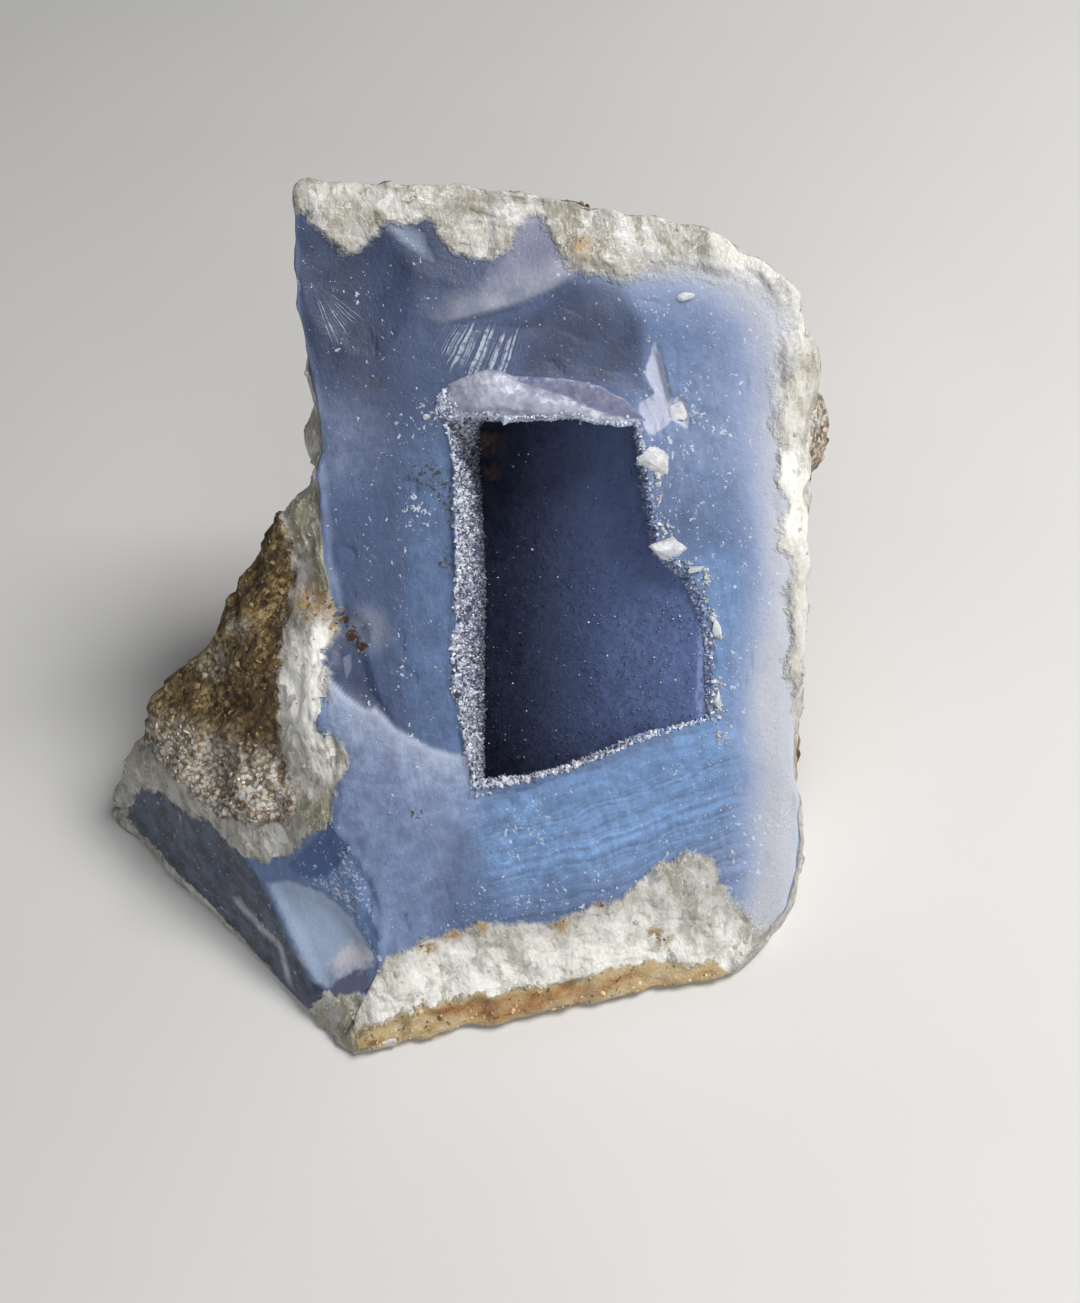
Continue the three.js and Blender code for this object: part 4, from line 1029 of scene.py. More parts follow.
class Nodes:
    """Adds nodes to one node tree and links their sockets."""

    def __init__(self, tree):
        self.tree = tree
        self.tree.nodes.clear()

    def add(self, kind, settings=None, inputs=None):
        """A node with its settings, and with values or sockets for inputs by name or number."""
        node = self.tree.nodes.new(kind)
        for key, value in (settings or {}).items():
            setattr(node, key, value)
        for key, value in (inputs or {}).items():
            self.put(node.inputs[key], value)
        return node

    def put(self, socket, value):
        """A value or a link for one input socket."""
        if isinstance(value, bpy.types.NodeSocket):
            self.tree.links.new(value, socket)
        elif hasattr(socket.default_value, "__len__") and len(value) == 3 and socket.type == "RGBA":
            socket.default_value = (*value, 1.0)
        else:
            socket.default_value = value

    def math(self, operation, a, b=0.0, clamp=False):
        """One number worked out from one or two others."""
        return self.add("ShaderNodeMath", {"operation": operation, "use_clamp": clamp},
                        {0: a, 1: b}).outputs[0]

    def times(self, a, b):
        """Two numbers multiplied."""
        return self.math("MULTIPLY", a, b)

    def plus(self, a, b, clamp=False):
        """Two numbers added, and held between 0 and 1 where clamp says so."""
        return self.math("ADD", a, b, clamp)

    def minus(self, a, b):
        """The first number less the second."""
        return self.math("SUBTRACT", a, b)

    def swing(self, value, amount):
        """A number from 0 to 1 turned into one from minus half of amount to half of it."""
        return self.times(self.minus(value, 0.5), amount)

    def mix(self, part, a, b, blend_type="MIX"):
        """Colour a with part of colour b over it."""
        node = self.add("ShaderNodeMix", {"data_type": "RGBA", "blend_type": blend_type,
                                          "clamp_factor": True})
        self.put(node.inputs[0], part)
        self.put(node.inputs[6], a)
        self.put(node.inputs[7], b)
        return node.outputs[2]

    def grey(self, value):
        """A grey as light as a number."""
        return self.add("ShaderNodeCombineColor", None, {0: value, 1: value, 2: value}).outputs[0]

    def vector(self, operation, a, b):
        """A vector worked out from two others."""
        return self.add("ShaderNodeVectorMath", {"operation": operation}, {0: a, 1: b}).outputs[0]

    def dot(self, a, b):
        """The dot product of two vectors."""
        node = self.add("ShaderNodeVectorMath", {"operation": "DOT_PRODUCT"}, {0: a, 1: b})
        return node.outputs["Value"]

    def scaled(self, vector, size):
        """A vector times a number."""
        node = self.add("ShaderNodeVectorMath", {"operation": "SCALE"}, {0: vector, "Scale": size})
        return node.outputs[0]

    def spread(self, value, low, high, to_low=0.0, to_high=1.0):
        """A number moved from one range to another with a smooth step, held at the ends."""
        node = self.add("ShaderNodeMapRange", {"interpolation_type": "SMOOTHSTEP"},
                        {0: value, 1: low, 2: high, 3: to_low, 4: to_high})
        return node.outputs[0]

    def ramp(self, value, stops):
        """A colour read from (place, colour) stops."""
        node = self.add("ShaderNodeValToRGB", None, {0: value})
        elements = node.color_ramp.elements
        while len(elements) < len(stops):
            elements.new(0.5)
        for element, (place, colour) in zip(elements, stops):
            element.position = place
            element.color = (*colour, 1.0)
        return node.outputs[0]

    def field(self, name):
        """A number kept on the mesh."""
        return self.add("ShaderNodeAttribute", {"attribute_name": name}).outputs["Fac"]

    def broken(self, name, waves, low, high, to_low=0.0, to_high=1.0):
        """A number kept on the mesh, broken up by noise between two levels."""
        return self.times(self.field(name), self.spread(waves, low, high, to_low, to_high))

    def place(self):
        """Object coordinates in millimetres."""
        return self.scaled(self.add("ShaderNodeTexCoord").outputs["Object"], 1 / MM)

    def drawn_out(self, place, axis, length):
        """A place squeezed along an axis, so that textures on it are drawn out along it."""
        along = self.times(self.dot(place, axis), 1 / length - 1)
        return self.vector("ADD", place, self.scaled(axis, along))

    def noise(self, place, size, detail=2.0, rough=0.5, warp=0.0):
        """Noise from 0 to 1 whose features are about size millimetres wide."""
        return self.add("ShaderNodeTexNoise", None, {
            "Vector": place, "Scale": 1 / size, "Detail": detail, "Roughness": rough,
            "Distortion": warp}).outputs["Fac"]

    def lines(self, across, scale, detail, rough):
        """Noise from 0 to 1 that changes with one number only."""
        return self.add("ShaderNodeTexNoise", {"noise_dimensions": "1D"}, {
            "W": across, "Scale": scale, "Detail": detail, "Roughness": rough}).outputs["Fac"]

    def cracks(self, waves, width, share):
        """Thin cracks where noise crosses its middle, from share there to nothing at width."""
        away = self.math("ABSOLUTE", self.minus(waves, 0.5))
        return self.spread(away, 0.0, width, share, 0.0)

    def group(self, maker, **inputs):
        """The outputs of the shared group that a function makes, which is built once."""
        if maker.__name__ not in SHARED:
            SHARED[maker.__name__] = maker()
        return self.add("ShaderNodeGroup", {"node_tree": SHARED[maker.__name__]}, inputs).outputs


def new_group(name, numbers, results):
    """An empty shader group from a place and numbers to numbers, with its builder, its inputs and
    its outputs."""
    tree = bpy.data.node_groups.new(name, "ShaderNodeTree")
    tree.interface.new_socket(name="Place", in_out="INPUT", socket_type="NodeSocketVector")
    for labels, way in ((numbers, "INPUT"), (results, "OUTPUT")):
        for label in labels:
            tree.interface.new_socket(name=label, in_out=way, socket_type="NodeSocketFloat")
    nodes = Nodes(tree)
    return tree, nodes, nodes.add("NodeGroupInput").outputs, nodes.add("NodeGroupOutput").inputs


def ragged_border():
    """Turns a signed distance into a mask with a broken edge: the distance is pushed about by
    noise before it is cut off at zero."""
    tree, nodes, given, made = new_group(
        "Ragged border", ["Distance", "Wander", "Size", "Softness"], ["Mask"])
    coarse = nodes.add("ShaderNodeTexNoise", None, {
        "Vector": given["Place"], "Scale": nodes.math("DIVIDE", 1.0, given["Size"]), "Detail": 4.0,
        "Roughness": 0.62}).outputs["Fac"]
    moved = nodes.plus(given["Distance"], nodes.swing(coarse, given["Wander"]))
    cut = nodes.math("DIVIDE", moved, given["Softness"])
    nodes.put(made["Mask"], nodes.plus(cut, 0.5, clamp=True))
    return tree


def white_flecks():
    """Small white bruises on a broken surface, and painted glints where they are used for those: ragged
    spots and short slanting streaks where fine noise is at its highest, crowded where a coarser noise
    is high."""
    tree, nodes, given, made = new_group("White flecks", ["Size", "Amount"], ["Mask"])
    slanted = nodes.add("ShaderNodeMapping", None, {
        "Vector": given["Place"], "Rotation": (0.5, 0.7, 0.4), "Scale": (1.0, 0.3, 1.0)}).outputs[0]
    scale = nodes.math("DIVIDE", 1.0, given["Size"])
    fine = nodes.add("ShaderNodeTexNoise", None, {
        "Vector": slanted, "Scale": scale, "Detail": 3.0, "Roughness": 0.55}).outputs["Fac"]
    crowd = nodes.add("ShaderNodeTexNoise", None, {
        "Vector": given["Place"], "Scale": nodes.times(scale, 0.13), "Detail": 2.0})
    more = nodes.spread(crowd.outputs["Fac"], 0.35, 0.68, 0.25, 1.15)
    limit = nodes.minus(0.70, nodes.times(nodes.times(given["Amount"], more), 0.12))
    nodes.put(made["Mask"], nodes.spread(nodes.minus(fine, limit), 0.0, 0.02))
    return tree


def crystal_facets():
    """Grains with flat tilted tops: how light each grain is, the height of its top in millimetres,
    and 1 in the gaps between grains."""
    tree, nodes, given, made = new_group("Crystal facets", ["Size"], ["Light", "Height", "Gap"])
    cells = nodes.add("ShaderNodeTexVoronoi", None, {
        "Vector": given["Place"], "Scale": nodes.math("DIVIDE", 1.0, given["Size"])}).outputs
    away = nodes.vector("SUBTRACT", given["Place"], cells["Position"])
    tilt = nodes.vector("SUBTRACT", cells["Color"], (0.5, 0.5, 0.5))
    light = nodes.add("ShaderNodeSeparateColor", None, {0: cells["Color"]}).outputs[1]
    step = nodes.times(nodes.times(light, given["Size"]), 0.15)
    nodes.put(made["Light"], light)
    nodes.put(made["Height"], nodes.plus(nodes.dot(away, tilt), step))
    nodes.put(made["Gap"], nodes.spread(cells["Distance"], 0.42, 0.68))
    return tree


def new_material(name):
    """An empty material and the builder of its nodes."""
    material = bpy.data.materials.new(name)
    material.use_nodes = True
    return material, Nodes(material.node_tree)


def finish_material(nodes, colour, rough, height, values, height_size=1.0):
    """The material's shader, with its colour, roughness, plain values, and a bump whose height
    counts in height_size millimetres."""
    bump = nodes.add("ShaderNodeBump", None, {
        "Strength": 1.0, "Distance": height_size * MM, "Height": height})
    shader = nodes.add("ShaderNodeBsdfPrincipled", None, {
        "Base Color": colour, "Roughness": rough, "Normal": bump.outputs["Normal"], **values})
    nodes.add("ShaderNodeOutputMaterial", None, {"Surface": shader.outputs[0]})


QUARTZ_IOR = 1.54  # index of refraction


def glow(weight, radius, scale):
    """Shader values of quartz that light enters: how much of it, how far each colour goes, and the
    scale of that in millimetres."""
    return {"Subsurface Weight": weight, "Subsurface Radius": radius,
            "Subsurface Scale": scale * MM, "IOR": QUARTZ_IOR}


MARKS = (  # name, colour, how far its border wanders and fades in millimetres, strength
    ("glitter", (0.13, 0.21, 0.40), 1.2, 0.3, 1.0), ("royal", (0.05, 0.095, 0.25), 0.8, 0.3, 1.0),
    ("purple", (0.12, 0.12, 0.20), 1.6, 0.6, 0.9), ("scoop", (0.39, 0.48, 0.65), 0.9, 0.5, 1.0),
    ("white_low", (0.70, 0.69, 0.74), 2.6, 1.1, 0.9), ("veil", (0.26, 0.265, 0.36), 1.8, 1.6, 0.9),
    ("feather", (0.36, 0.44, 0.57), 0.9, 0.7, 0.5), ("pane", (0.40, 0.44, 0.58), 0.3, 0.2, 0.35),
    ("scar", (0.50, 0.52, 0.66), 0.5, 0.22, 0.95))
TINT = {  # colours of small things, beside the main ones in the settings
    "bruise and glint": (0.66, 0.71, 0.80), "fan line": (0.48, 0.52, 0.63), "speck": (0.035, 0.036, 0.022),
    "rusty dot": (0.075, 0.034, 0.022), "bright quartz": (0.98, 0.955, 0.885),
    "quartz crack": (0.93, 0.93, 0.93), "dark stain": (0.07, 0.04, 0.018),
    "umber": (0.12, 0.072, 0.036), "sand pit": (0.06, 0.04, 0.024),
    "tan border": (0.82, 0.68, 0.38), "tan pit": (0.12, 0.06, 0.025),
    "druse patch": (0.05, 0.06, 0.125), "frosted": (0.74, 0.77, 0.86),
    "druse brown": (0.09, 0.055, 0.045), "lip's blue layer": (0.16, 0.175, 0.29),
    "lip's tan layer": (0.27, 0.255, 0.32)}


def banded_blue(nodes, place, broad, sizes):
    """Blue that is deeper in places, partly the chalcedony's own deeper blue and partly painted shade
    toward the face's left and top, with the face's large tints, among them the left facet's painted
    shade, fine bands about the hollow, and faint scratches up the slope."""
    veil = nodes.spread(nodes.noise(place, 2.2, 5.0, 0.65), 0.35, 0.7, 0.62, 1.3)
    depth = nodes.minus(nodes.times(nodes.field("deep"), 1.15), nodes.swing(broad, 1.3))
    blue = nodes.mix(nodes.spread(depth, -0.1, 1.0), sizes.band_blue, sizes.band_deep)
    # dark mixes in the shaded blue: painted shade on the left facet, and the face's darker top left
    for name, colour, share in (("sky", sizes.band_sky, 0.75), ("slate", sizes.slate, 0.85),
                                ("cloudy", sizes.lavender, 0.78), ("dark", sizes.shade, 0.9)):
        part = nodes.times(nodes.times(nodes.field(name), share), veil)
        blue = nodes.mix(part, blue, colour)
    band = nodes.plus(nodes.field("hollow"), nodes.swing(nodes.noise(place, 8.0, 4.0, 0.6), 3.0))
    lines = nodes.lines(nodes.math("DIVIDE", band, sizes.band_spacing / MM), 1.0, 3.0, 0.7)
    light = nodes.plus(nodes.times(nodes.spread(lines, 0.3, 0.7, -0.26, 0.30),
                                   nodes.broken("lined", broad, 0.3, 0.6, 0.4, 1.0)),
                       nodes.spread(nodes.noise(place, 1.1, 5.0, 0.7), 0.3, 0.7, 0.9, 1.1))
    scratches = nodes.noise(nodes.drawn_out(place, FACE_UP, 7.0), 0.45, 4.0, 0.65)
    light = nodes.plus(light, nodes.spread(scratches, 0.3, 0.7, -0.09, 0.09))
    return nodes.mix(1.0, blue, nodes.grey(light), "MULTIPLY")


def marked_blue(nodes, place, broad, blue, sizes):
    """The blue with the marked patches, the pale right edge, partly milky and partly painted glow, and the
    milky bands on it.
    """
    for name, colour, wander, softness, share in MARKS:
        part = nodes.group(ragged_border, Place=place, Distance=nodes.field(name), Wander=wander,
                           Size=1.0, Softness=softness)[0]
        part = nodes.times(part, nodes.spread(broad, 0.3, 0.6, 0.7 * share, share))
        blue = nodes.mix(part, blue, colour)
    # The right edge turns lavender and milky white: partly milky chalcedony, partly painted glow
    margin = nodes.plus(nodes.field("margin"), nodes.broken("margin", broad, 0.3, 0.7, -0.1, 0.1))
    blue = nodes.mix(nodes.spread(margin, 0.0, 0.75, 0.0, 0.85), blue, sizes.lavender)
    blue = nodes.mix(nodes.spread(margin, 0.4, 1.05, 0.0, 0.95), blue, sizes.milk)
    milky = nodes.broken("milky", nodes.noise(place, 1.8, 4.0), 0.3, 0.7, 0.6, 1.1)
    return nodes.mix(milky, blue, sizes.milk)


def chalcedony_colour(nodes, place, sizes):
    """The blue with its bands and patches, and on it the fans of lines, dark specks, rusty dots and
    white bruises, some of them painted glints. Gives its colour, and the height of lines and bruises."""
    broad = nodes.noise(place, 6.0, 5.0, 0.62, 0.6)
    blue = marked_blue(nodes, place, broad, banded_blue(nodes, place, broad, sizes), sizes)
    turn = nodes.plus(nodes.field("fan_turn"), nodes.times(nodes.noise(place, 1.5, 3.0), 0.9))
    ridge = nodes.plus(nodes.lines(turn, 1.15, 1.0, 0.5), nodes.times(nodes.field("fan"), 0.26))
    ridge = nodes.times(nodes.spread(ridge, 0.68, 0.84), nodes.field("fan"))
    ridge = nodes.times(ridge, nodes.spread(nodes.noise(place, 0.6, 3.0), 0.36, 0.56, 0.25, 1.0))
    blue = nodes.mix(nodes.times(ridge, 0.9), blue, TINT["fan line"])
    speck = nodes.times(nodes.spread(nodes.noise(place, 0.36, 3.0, 0.6), 0.52, 0.57),
                        nodes.spread(nodes.field("specks"), 0.15, 0.6))
    blue = nodes.mix(speck, blue, TINT["speck"])
    rusty = nodes.times(nodes.spread(nodes.noise(place, 0.6, 3.0, 0.6), 0.40, 0.48),
                        nodes.spread(nodes.field("rusty"), 0.1, 0.4))
    blue = nodes.mix(rusty, blue, TINT["rusty dot"])
    amount = nodes.field("flecks")
    large = nodes.math("MINIMUM", amount, nodes.minus(1.8, amount))
    flecks = nodes.group(white_flecks, Place=place, Size=0.5, Amount=large)[0]
    dust = nodes.group(white_flecks, Place=place, Size=0.3, Amount=amount)[0]
    white = nodes.math("MAXIMUM", nodes.times(flecks, 0.75), nodes.times(dust, 0.55))
    return nodes.mix(white, blue, TINT["bruise and glint"]), nodes.plus(white, nodes.times(ridge, 1.5))


def quartz_colour(nodes, place, sizes):
    """Broken quartz: columns up the slope from milky white to clear greenish grey, smoky in
    places, with thin pale cracks and ochre stains. Gives its colour and its height."""
    columns = nodes.drawn_out(place, FACE_UP, 1.9)
    grain = nodes.group(crystal_facets, Place=columns, Size=1.0)
    small = nodes.group(crystal_facets, Place=columns, Size=0.4)
    patch = nodes.noise(columns, 1.9, 5.0, 0.6)
    cloud = nodes.noise(place, 5.0, 3.0, 0.5)
    mixed = nodes.plus(nodes.times(patch, 0.52), nodes.times(cloud, 0.48))
    mixed = nodes.plus(mixed, nodes.swing(grain["Light"], 0.17))
    mixed = nodes.plus(mixed, nodes.swing(small["Light"], 0.10))
    colour = nodes.ramp(mixed, [
        (0.31, sizes.quartz_grey), (0.42, (0.37, 0.35, 0.30)), (0.52, sizes.quartz_white),
        (0.66, (0.62, 0.61, 0.60))])
    # Near-white quartz where bright is set: partly real white quartz, partly painted light
    bright = nodes.broken("bright", mixed, 0.35, 0.50, 0.4, 1.0)
    colour = nodes.mix(bright, colour, TINT["bright quartz"])
    green = nodes.broken("green", mixed, 0.42, 0.62, 1.0, 0.4)
    colour = nodes.mix(green, colour, sizes.smoky)
    cracks = nodes.cracks(nodes.noise(place, 2.2, 3.0, 0.6), 0.01, 0.5)
    colour = nodes.mix(cracks, colour, TINT["quartz crack"])
    stain = nodes.broken("stain", nodes.noise(place, 0.9, 5.0, 0.65), 0.40, 0.56)
    colour = nodes.mix(stain, colour, sizes.ochre)
    dark = nodes.broken("stain", nodes.noise(place, 0.5, 3.0), 0.58, 0.66)
    colour = nodes.mix(dark, colour, TINT["dark stain"])
    height = nodes.plus(nodes.times(grain["Height"], 0.42), nodes.times(small["Height"], 0.34))
    return colour, nodes.plus(height, nodes.times(patch, 0.45))


def tan_colour(nodes, place, level, sizes):
    """The tan skin at the foot: level layers from sand to rust, paler at its upper border, with
    dark pits."""
    earth = nodes.noise(level, 1.7, 6.0, 0.66)
    tan = nodes.ramp(earth, [
        (0.30, (0.32, 0.18, 0.07)), (0.39, (0.72, 0.49, 0.22)), (0.49, sizes.skin_tan),
        (0.60, (0.86, 0.70, 0.44)), (0.72, (0.84, 0.76, 0.60))])
    rust = nodes.ramp(earth, [
        (0.32, (0.27, 0.10, 0.035)), (0.45, (0.54, 0.26, 0.10)), (0.57, (0.68, 0.42, 0.20)),
        (0.72, (0.76, 0.56, 0.33))])
    part = nodes.broken("rust", nodes.noise(level, 4.0, 3.0), 0.32, 0.5, 0.3, 1.0)
    tan = nodes.mix(part, tan, rust)
    border = nodes.spread(nodes.field("skin"), 0.2, 1.0, 0.6, 0.0)
    tan = nodes.mix(border, tan, TINT["tan border"])
    pits = nodes.spread(nodes.noise(place, 0.7, 3.0), 0.62, 0.68, 0.0, 0.8)
    return nodes.mix(pits, tan, TINT["tan pit"])


def skin_colour(nodes, place, sizes):
    """The nodule's rough skin: fibrous brown with dark pits, sandy cream grains where the mesh
    says so, and tan and rust at the foot. Gives its colour and its height in millimetres."""
    fibres = nodes.drawn_out(place, FIBRES, 5.0)
    patch = nodes.plus(nodes.times(nodes.noise(fibres, 0.6, 6.0, 0.68), 0.6),
                       nodes.times(nodes.noise(place, 2.6, 5.0, 0.6), 0.4))
    grit = nodes.group(crystal_facets, Place=place, Size=0.5)
    brown = nodes.ramp(nodes.plus(patch, nodes.swing(grit["Light"], 0.16)), [
        (0.37, sizes.skin_dark), (0.44, (0.14, 0.088, 0.034)), (0.51, sizes.skin_brown),
        (0.57, (0.45, 0.31, 0.13)), (0.65, (0.66, 0.52, 0.30))])
    brown = nodes.mix(nodes.times(nodes.field("umber"), 0.6), brown, TINT["umber"])
    cracks = nodes.cracks(nodes.noise(fibres, 0.8, 3.0, 0.6), 0.035, 0.75)
    brown = nodes.mix(cracks, brown, sizes.skin_dark)
    sand = nodes.ramp(grit["Light"], [
        (0.08, (0.38, 0.26, 0.14)), (0.25, (0.80, 0.64, 0.46)), (0.55, (0.95, 0.86, 0.72)),
        (1.0, (0.98, 0.95, 0.90))])
    sand = nodes.mix(nodes.times(grit["Gap"], 0.6), sand, sizes.skin_dark)
    pits = nodes.spread(nodes.noise(place, 0.9, 4.0, 0.6), 0.59, 0.66, 0.0, 0.65)
    sand = nodes.mix(pits, sand, TINT["sand pit"])
    brown = nodes.mix(nodes.broken("cream", patch, 0.36, 0.50, 0.5, 1.0), brown, sand)
    level = nodes.drawn_out(place, (1.0, 0.0, 0.0), 2.5)
    colour = nodes.mix(nodes.field("tan"), brown, tan_colour(nodes, place, level, sizes))
    height = nodes.plus(nodes.times(grit["Height"], 0.6), nodes.noise(fibres, 0.55, 5.0, 0.7))
    ledges = nodes.times(nodes.noise(level, 0.6, 5.0, 0.7), nodes.field("tan"))
    return colour, nodes.plus(height, ledges)


def stone_material(sizes):
    """The stone: chalcedony, quartz and skin, each kept to its own zone by a ragged border."""
    material, nodes = new_material("banded chalcedony")
    place = nodes.place()
    blue, bruises = chalcedony_colour(nodes, place, sizes)
    quartz, quartz_height = quartz_colour(nodes, place, sizes)
    skin, skin_height = skin_colour(nodes, place, sizes)
    quartz_mask = nodes.group(ragged_border, Place=place, Distance=nodes.field("quartz"),
                              Wander=2.8, Size=1.8, Softness=nodes.field("soft"))[0]
    skin_mask = nodes.group(ragged_border, Place=place, Distance=nodes.field("skin"),
                            Wander=3.0, Size=1.6, Softness=0.35)[0]
    colour = nodes.mix(skin_mask, nodes.mix(quartz_mask, blue, quartz), skin)
    blue_rough = nodes.spread(nodes.noise(place, 2.5, 4.0), 0.3, 0.7, 0.36, 0.52)
    rough = nodes.minus(blue_rough, nodes.times(quartz_mask, 0.17))
    rough = nodes.math("MAXIMUM", rough, nodes.times(skin_mask, 0.85))
    fine = nodes.noise(place, 0.45, 5.0, 0.65)
    height = nodes.plus(nodes.times(fine, 0.10), nodes.times(bruises, 0.08))
    height = nodes.plus(height, nodes.times(quartz_height, quartz_mask))
    height = nodes.plus(height, nodes.times(skin_height, skin_mask))
    finish_material(nodes, colour, rough, height, glow(0.28, (0.9, 1.0, 1.4), 0.8))
    return material


def druse_material(sizes, name, bump):
    """Fine quartz over dark blue, darker where the hollow is deep, partly its own colour and partly
    painted shade: the frost kept on the mesh turns it from blue to white.
    """
    material, nodes = new_material(name)
    place = nodes.place()
    grain = nodes.group(crystal_facets, Place=place, Size=0.32)
    # Painted shade, partly the druse's own deeper blue: the floor darkens from the light druse colour to the
    # deep shade colour as the hollow deepens
    depth = nodes.spread(nodes.field("depth"), 1.0, 12.0)
    floor = nodes.mix(depth, sizes.druse_light, sizes.druse_deep_shade)
    patch = nodes.spread(nodes.noise(place, 2.0, 5.0, 0.65), 0.35, 0.7, 0.0, 0.25)
    floor = nodes.mix(patch, floor, TINT["druse patch"])
    frost = nodes.field("frost")
    sparkle = nodes.swing(grain["Light"], nodes.times(frost, 1.3))
    colour = nodes.mix(nodes.plus(frost, sparkle, clamp=True), floor, TINT["frosted"])
    brown = nodes.broken("brown", nodes.noise(place, 1.4, 4.0), 0.4, 0.65)
    colour = nodes.mix(brown, colour, TINT["druse brown"])
    finish_material(nodes, colour, 0.24, nodes.times(grain["Height"], bump),
                    glow(0.12, (0.6, 0.7, 1.0), 0.8))
    return material


def frost_material(name, tint, body, top):
    """Translucent quartz from a tint through its body colour to its palest, with a tan lilac layer
    where the mesh says so."""
    material, nodes = new_material(name)
    place = nodes.place()
    grain = nodes.group(crystal_facets, Place=place, Size=0.55)
    patch = nodes.noise(place, 1.6, 5.0, 0.62, 0.5)
    mixed = nodes.plus(patch, nodes.swing(grain["Light"], 0.14))
    colour = nodes.ramp(mixed, [(0.32, tint), (0.5, body), (0.72, top)])
    tan = nodes.mix(nodes.spread(nodes.noise(place, 1.2, 4.0, 0.6), 0.48, 0.66),
                    TINT["lip's blue layer"], TINT["lip's tan layer"])
    colour = nodes.mix(nodes.field("layer"), colour, tan)
    finish_material(nodes, colour, 0.42, nodes.times(grain["Height"], 0.4),
                    glow(0.5, (1.0, 1.1, 1.4), 1.2))
    return material


def grit_material(sizes):
    """Loose grit on the skin: brown, cream in the sandy part, tan at the foot."""
    material, nodes = new_material("skin grit")
    light = nodes.field("light")
    brown = nodes.ramp(light, [
        (0.0, sizes.skin_dark), (0.4, sizes.skin_brown), (1.0, (0.42, 0.33, 0.22))])
    cream = nodes.ramp(light, [
        (0.0, (0.30, 0.20, 0.12)), (0.3, (0.74, 0.60, 0.46)), (1.0, (0.94, 0.89, 0.80))])
    tan = nodes.ramp(light, [
        (0.0, (0.42, 0.22, 0.09)), (0.5, sizes.skin_tan), (1.0, (0.84, 0.70, 0.46))])
    colour = nodes.mix(nodes.field("tan"), nodes.mix(nodes.field("cream"), brown, cream), tan)
    height = nodes.times(nodes.noise(nodes.place(), 0.3, 3.0), 0.1)
    finish_material(nodes, colour, 0.7, height, {"IOR": 1.5})
    return material


def floor_material(colour):
    """Plain pale floor with a trace of unevenness."""
    material, nodes = new_material("pale floor")
    place = nodes.place()
    tone = nodes.grey(nodes.spread(nodes.noise(place, 60.0, 3.0), 0.3, 0.7, 0.97, 1.0))
    finish_material(nodes, nodes.mix(1.0, colour, tone, "MULTIPLY"), 0.7, nodes.noise(place, 2.0),
                    {}, 0.01)
    return material


def colour_setting(name, description, default):
    """A colour that a user may change."""
    return bpy.props.FloatVectorProperty(
        name=name, description=description, subtype="COLOR", default=default)


class AgateSizes(bpy.types.PropertyGroup):
    """Sizes and colours of the stone."""
    band_spacing: bpy.props.FloatProperty(
        name="Band spacing", description="Width of one fine band of the chalcedony",
        default=0.0011, min=0.0002, unit="LENGTH")
    crystal_width: bpy.props.FloatProperty(
        name="Crystal width", description="Width of a usual crystal in the hollow",
        default=0.00030, min=0.0001, unit="LENGTH")
    crystal_count: bpy.props.IntProperty(
        name="Crystals", description="How many crystals stand in the hollow",
        default=16000, min=100, max=16000)
    band_blue: colour_setting("Band blue", "Main blue of the chalcedony", (0.120, 0.188, 0.345))
    # band_deep also serves as painted shade on the face's left and top
    band_deep: colour_setting("Deep blue", "Deeper blue of the chalcedony", (0.056, 0.086, 0.180))
    band_sky: colour_setting("Band sky blue", "Paler blue beside the hollow", (0.190, 0.345, 0.62))
    lavender: colour_setting("Lavender", "Milky lavender chalcedony", (0.34, 0.41, 0.61))
    # milk also paints the glow of the right edge
    milk: colour_setting("Milky white", "Milky edges and scars of the chalcedony", (0.56, 0.57, 0.62))
    slate: colour_setting("Slate blue", "Dark greyish chalcedony", (0.034, 0.046, 0.100))
    # Painted shade: the shaded blue is a darker copy of the blue, for the side that faces away from the
    # light
    shade: colour_setting(
        "Shaded blue", "Chalcedony of the side that leans out at the left", (0.012, 0.022, 0.054))
    quartz_white: colour_setting("Quartz white", "Sugary quartz of the rind", (0.50, 0.475, 0.42))
    quartz_grey: colour_setting("Quartz grey", "Clear greyish quartz of the rind", (0.30, 0.29, 0.235))
    smoky: colour_setting("Smoky quartz", "Clear olive grey quartz", (0.29, 0.27, 0.195))
    frost: colour_setting("Frost", "White of the small crystals", (0.35, 0.37, 0.46))
    ochre: colour_setting("Ochre", "Stain in the quartz", (0.44, 0.29, 0.13))
    skin_dark: colour_setting("Skin pits", "Pits of the nodule's skin", (0.045, 0.030, 0.017))
    skin_brown: colour_setting("Skin brown", "Brown of the nodule's skin", (0.26, 0.165, 0.058))
    skin_tan: colour_setting("Skin tan", "Tan skin at the foot", (0.84, 0.62, 0.33))
    druse_light: colour_setting("Druse light", "Druse where the hollow is shallow", (0.155, 0.215, 0.43))
    # Partly painted shade: the druse's colour where the hollow is deepest
    druse_deep_shade: colour_setting("Druse dark", "Druse where the hollow is deep", (0.013, 0.016, 0.036))


class AgateStage(bpy.types.PropertyGroup):
    """The floor and the lights around the stone."""
    floor_colour: colour_setting("Floor", "Colour of the plain floor", (0.75, 0.74, 0.725))
    key_power: bpy.props.FloatProperty(
        name="Key light", description="Power of the large light in front on the right, in watts",
        default=2.3, min=0.0)
    fill_power: bpy.props.FloatProperty(
        name="Fill light", description="Power of the soft light low in front, in watts",
        default=1.0, min=0.0)
    sky_light: bpy.props.FloatProperty(
        name="Surroundings", description="Strength of the even light all round",
        default=0.09, min=0.0)


def dress(piece, material, slot, *nodes):
    """Gives a piece its material and its place in the frame."""
    piece.data.materials.append(material)
    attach(piece, "root")
    if nodes:
        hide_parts(*nodes)


MADE = {}  # the surfaces that later pieces stand on, with their fields

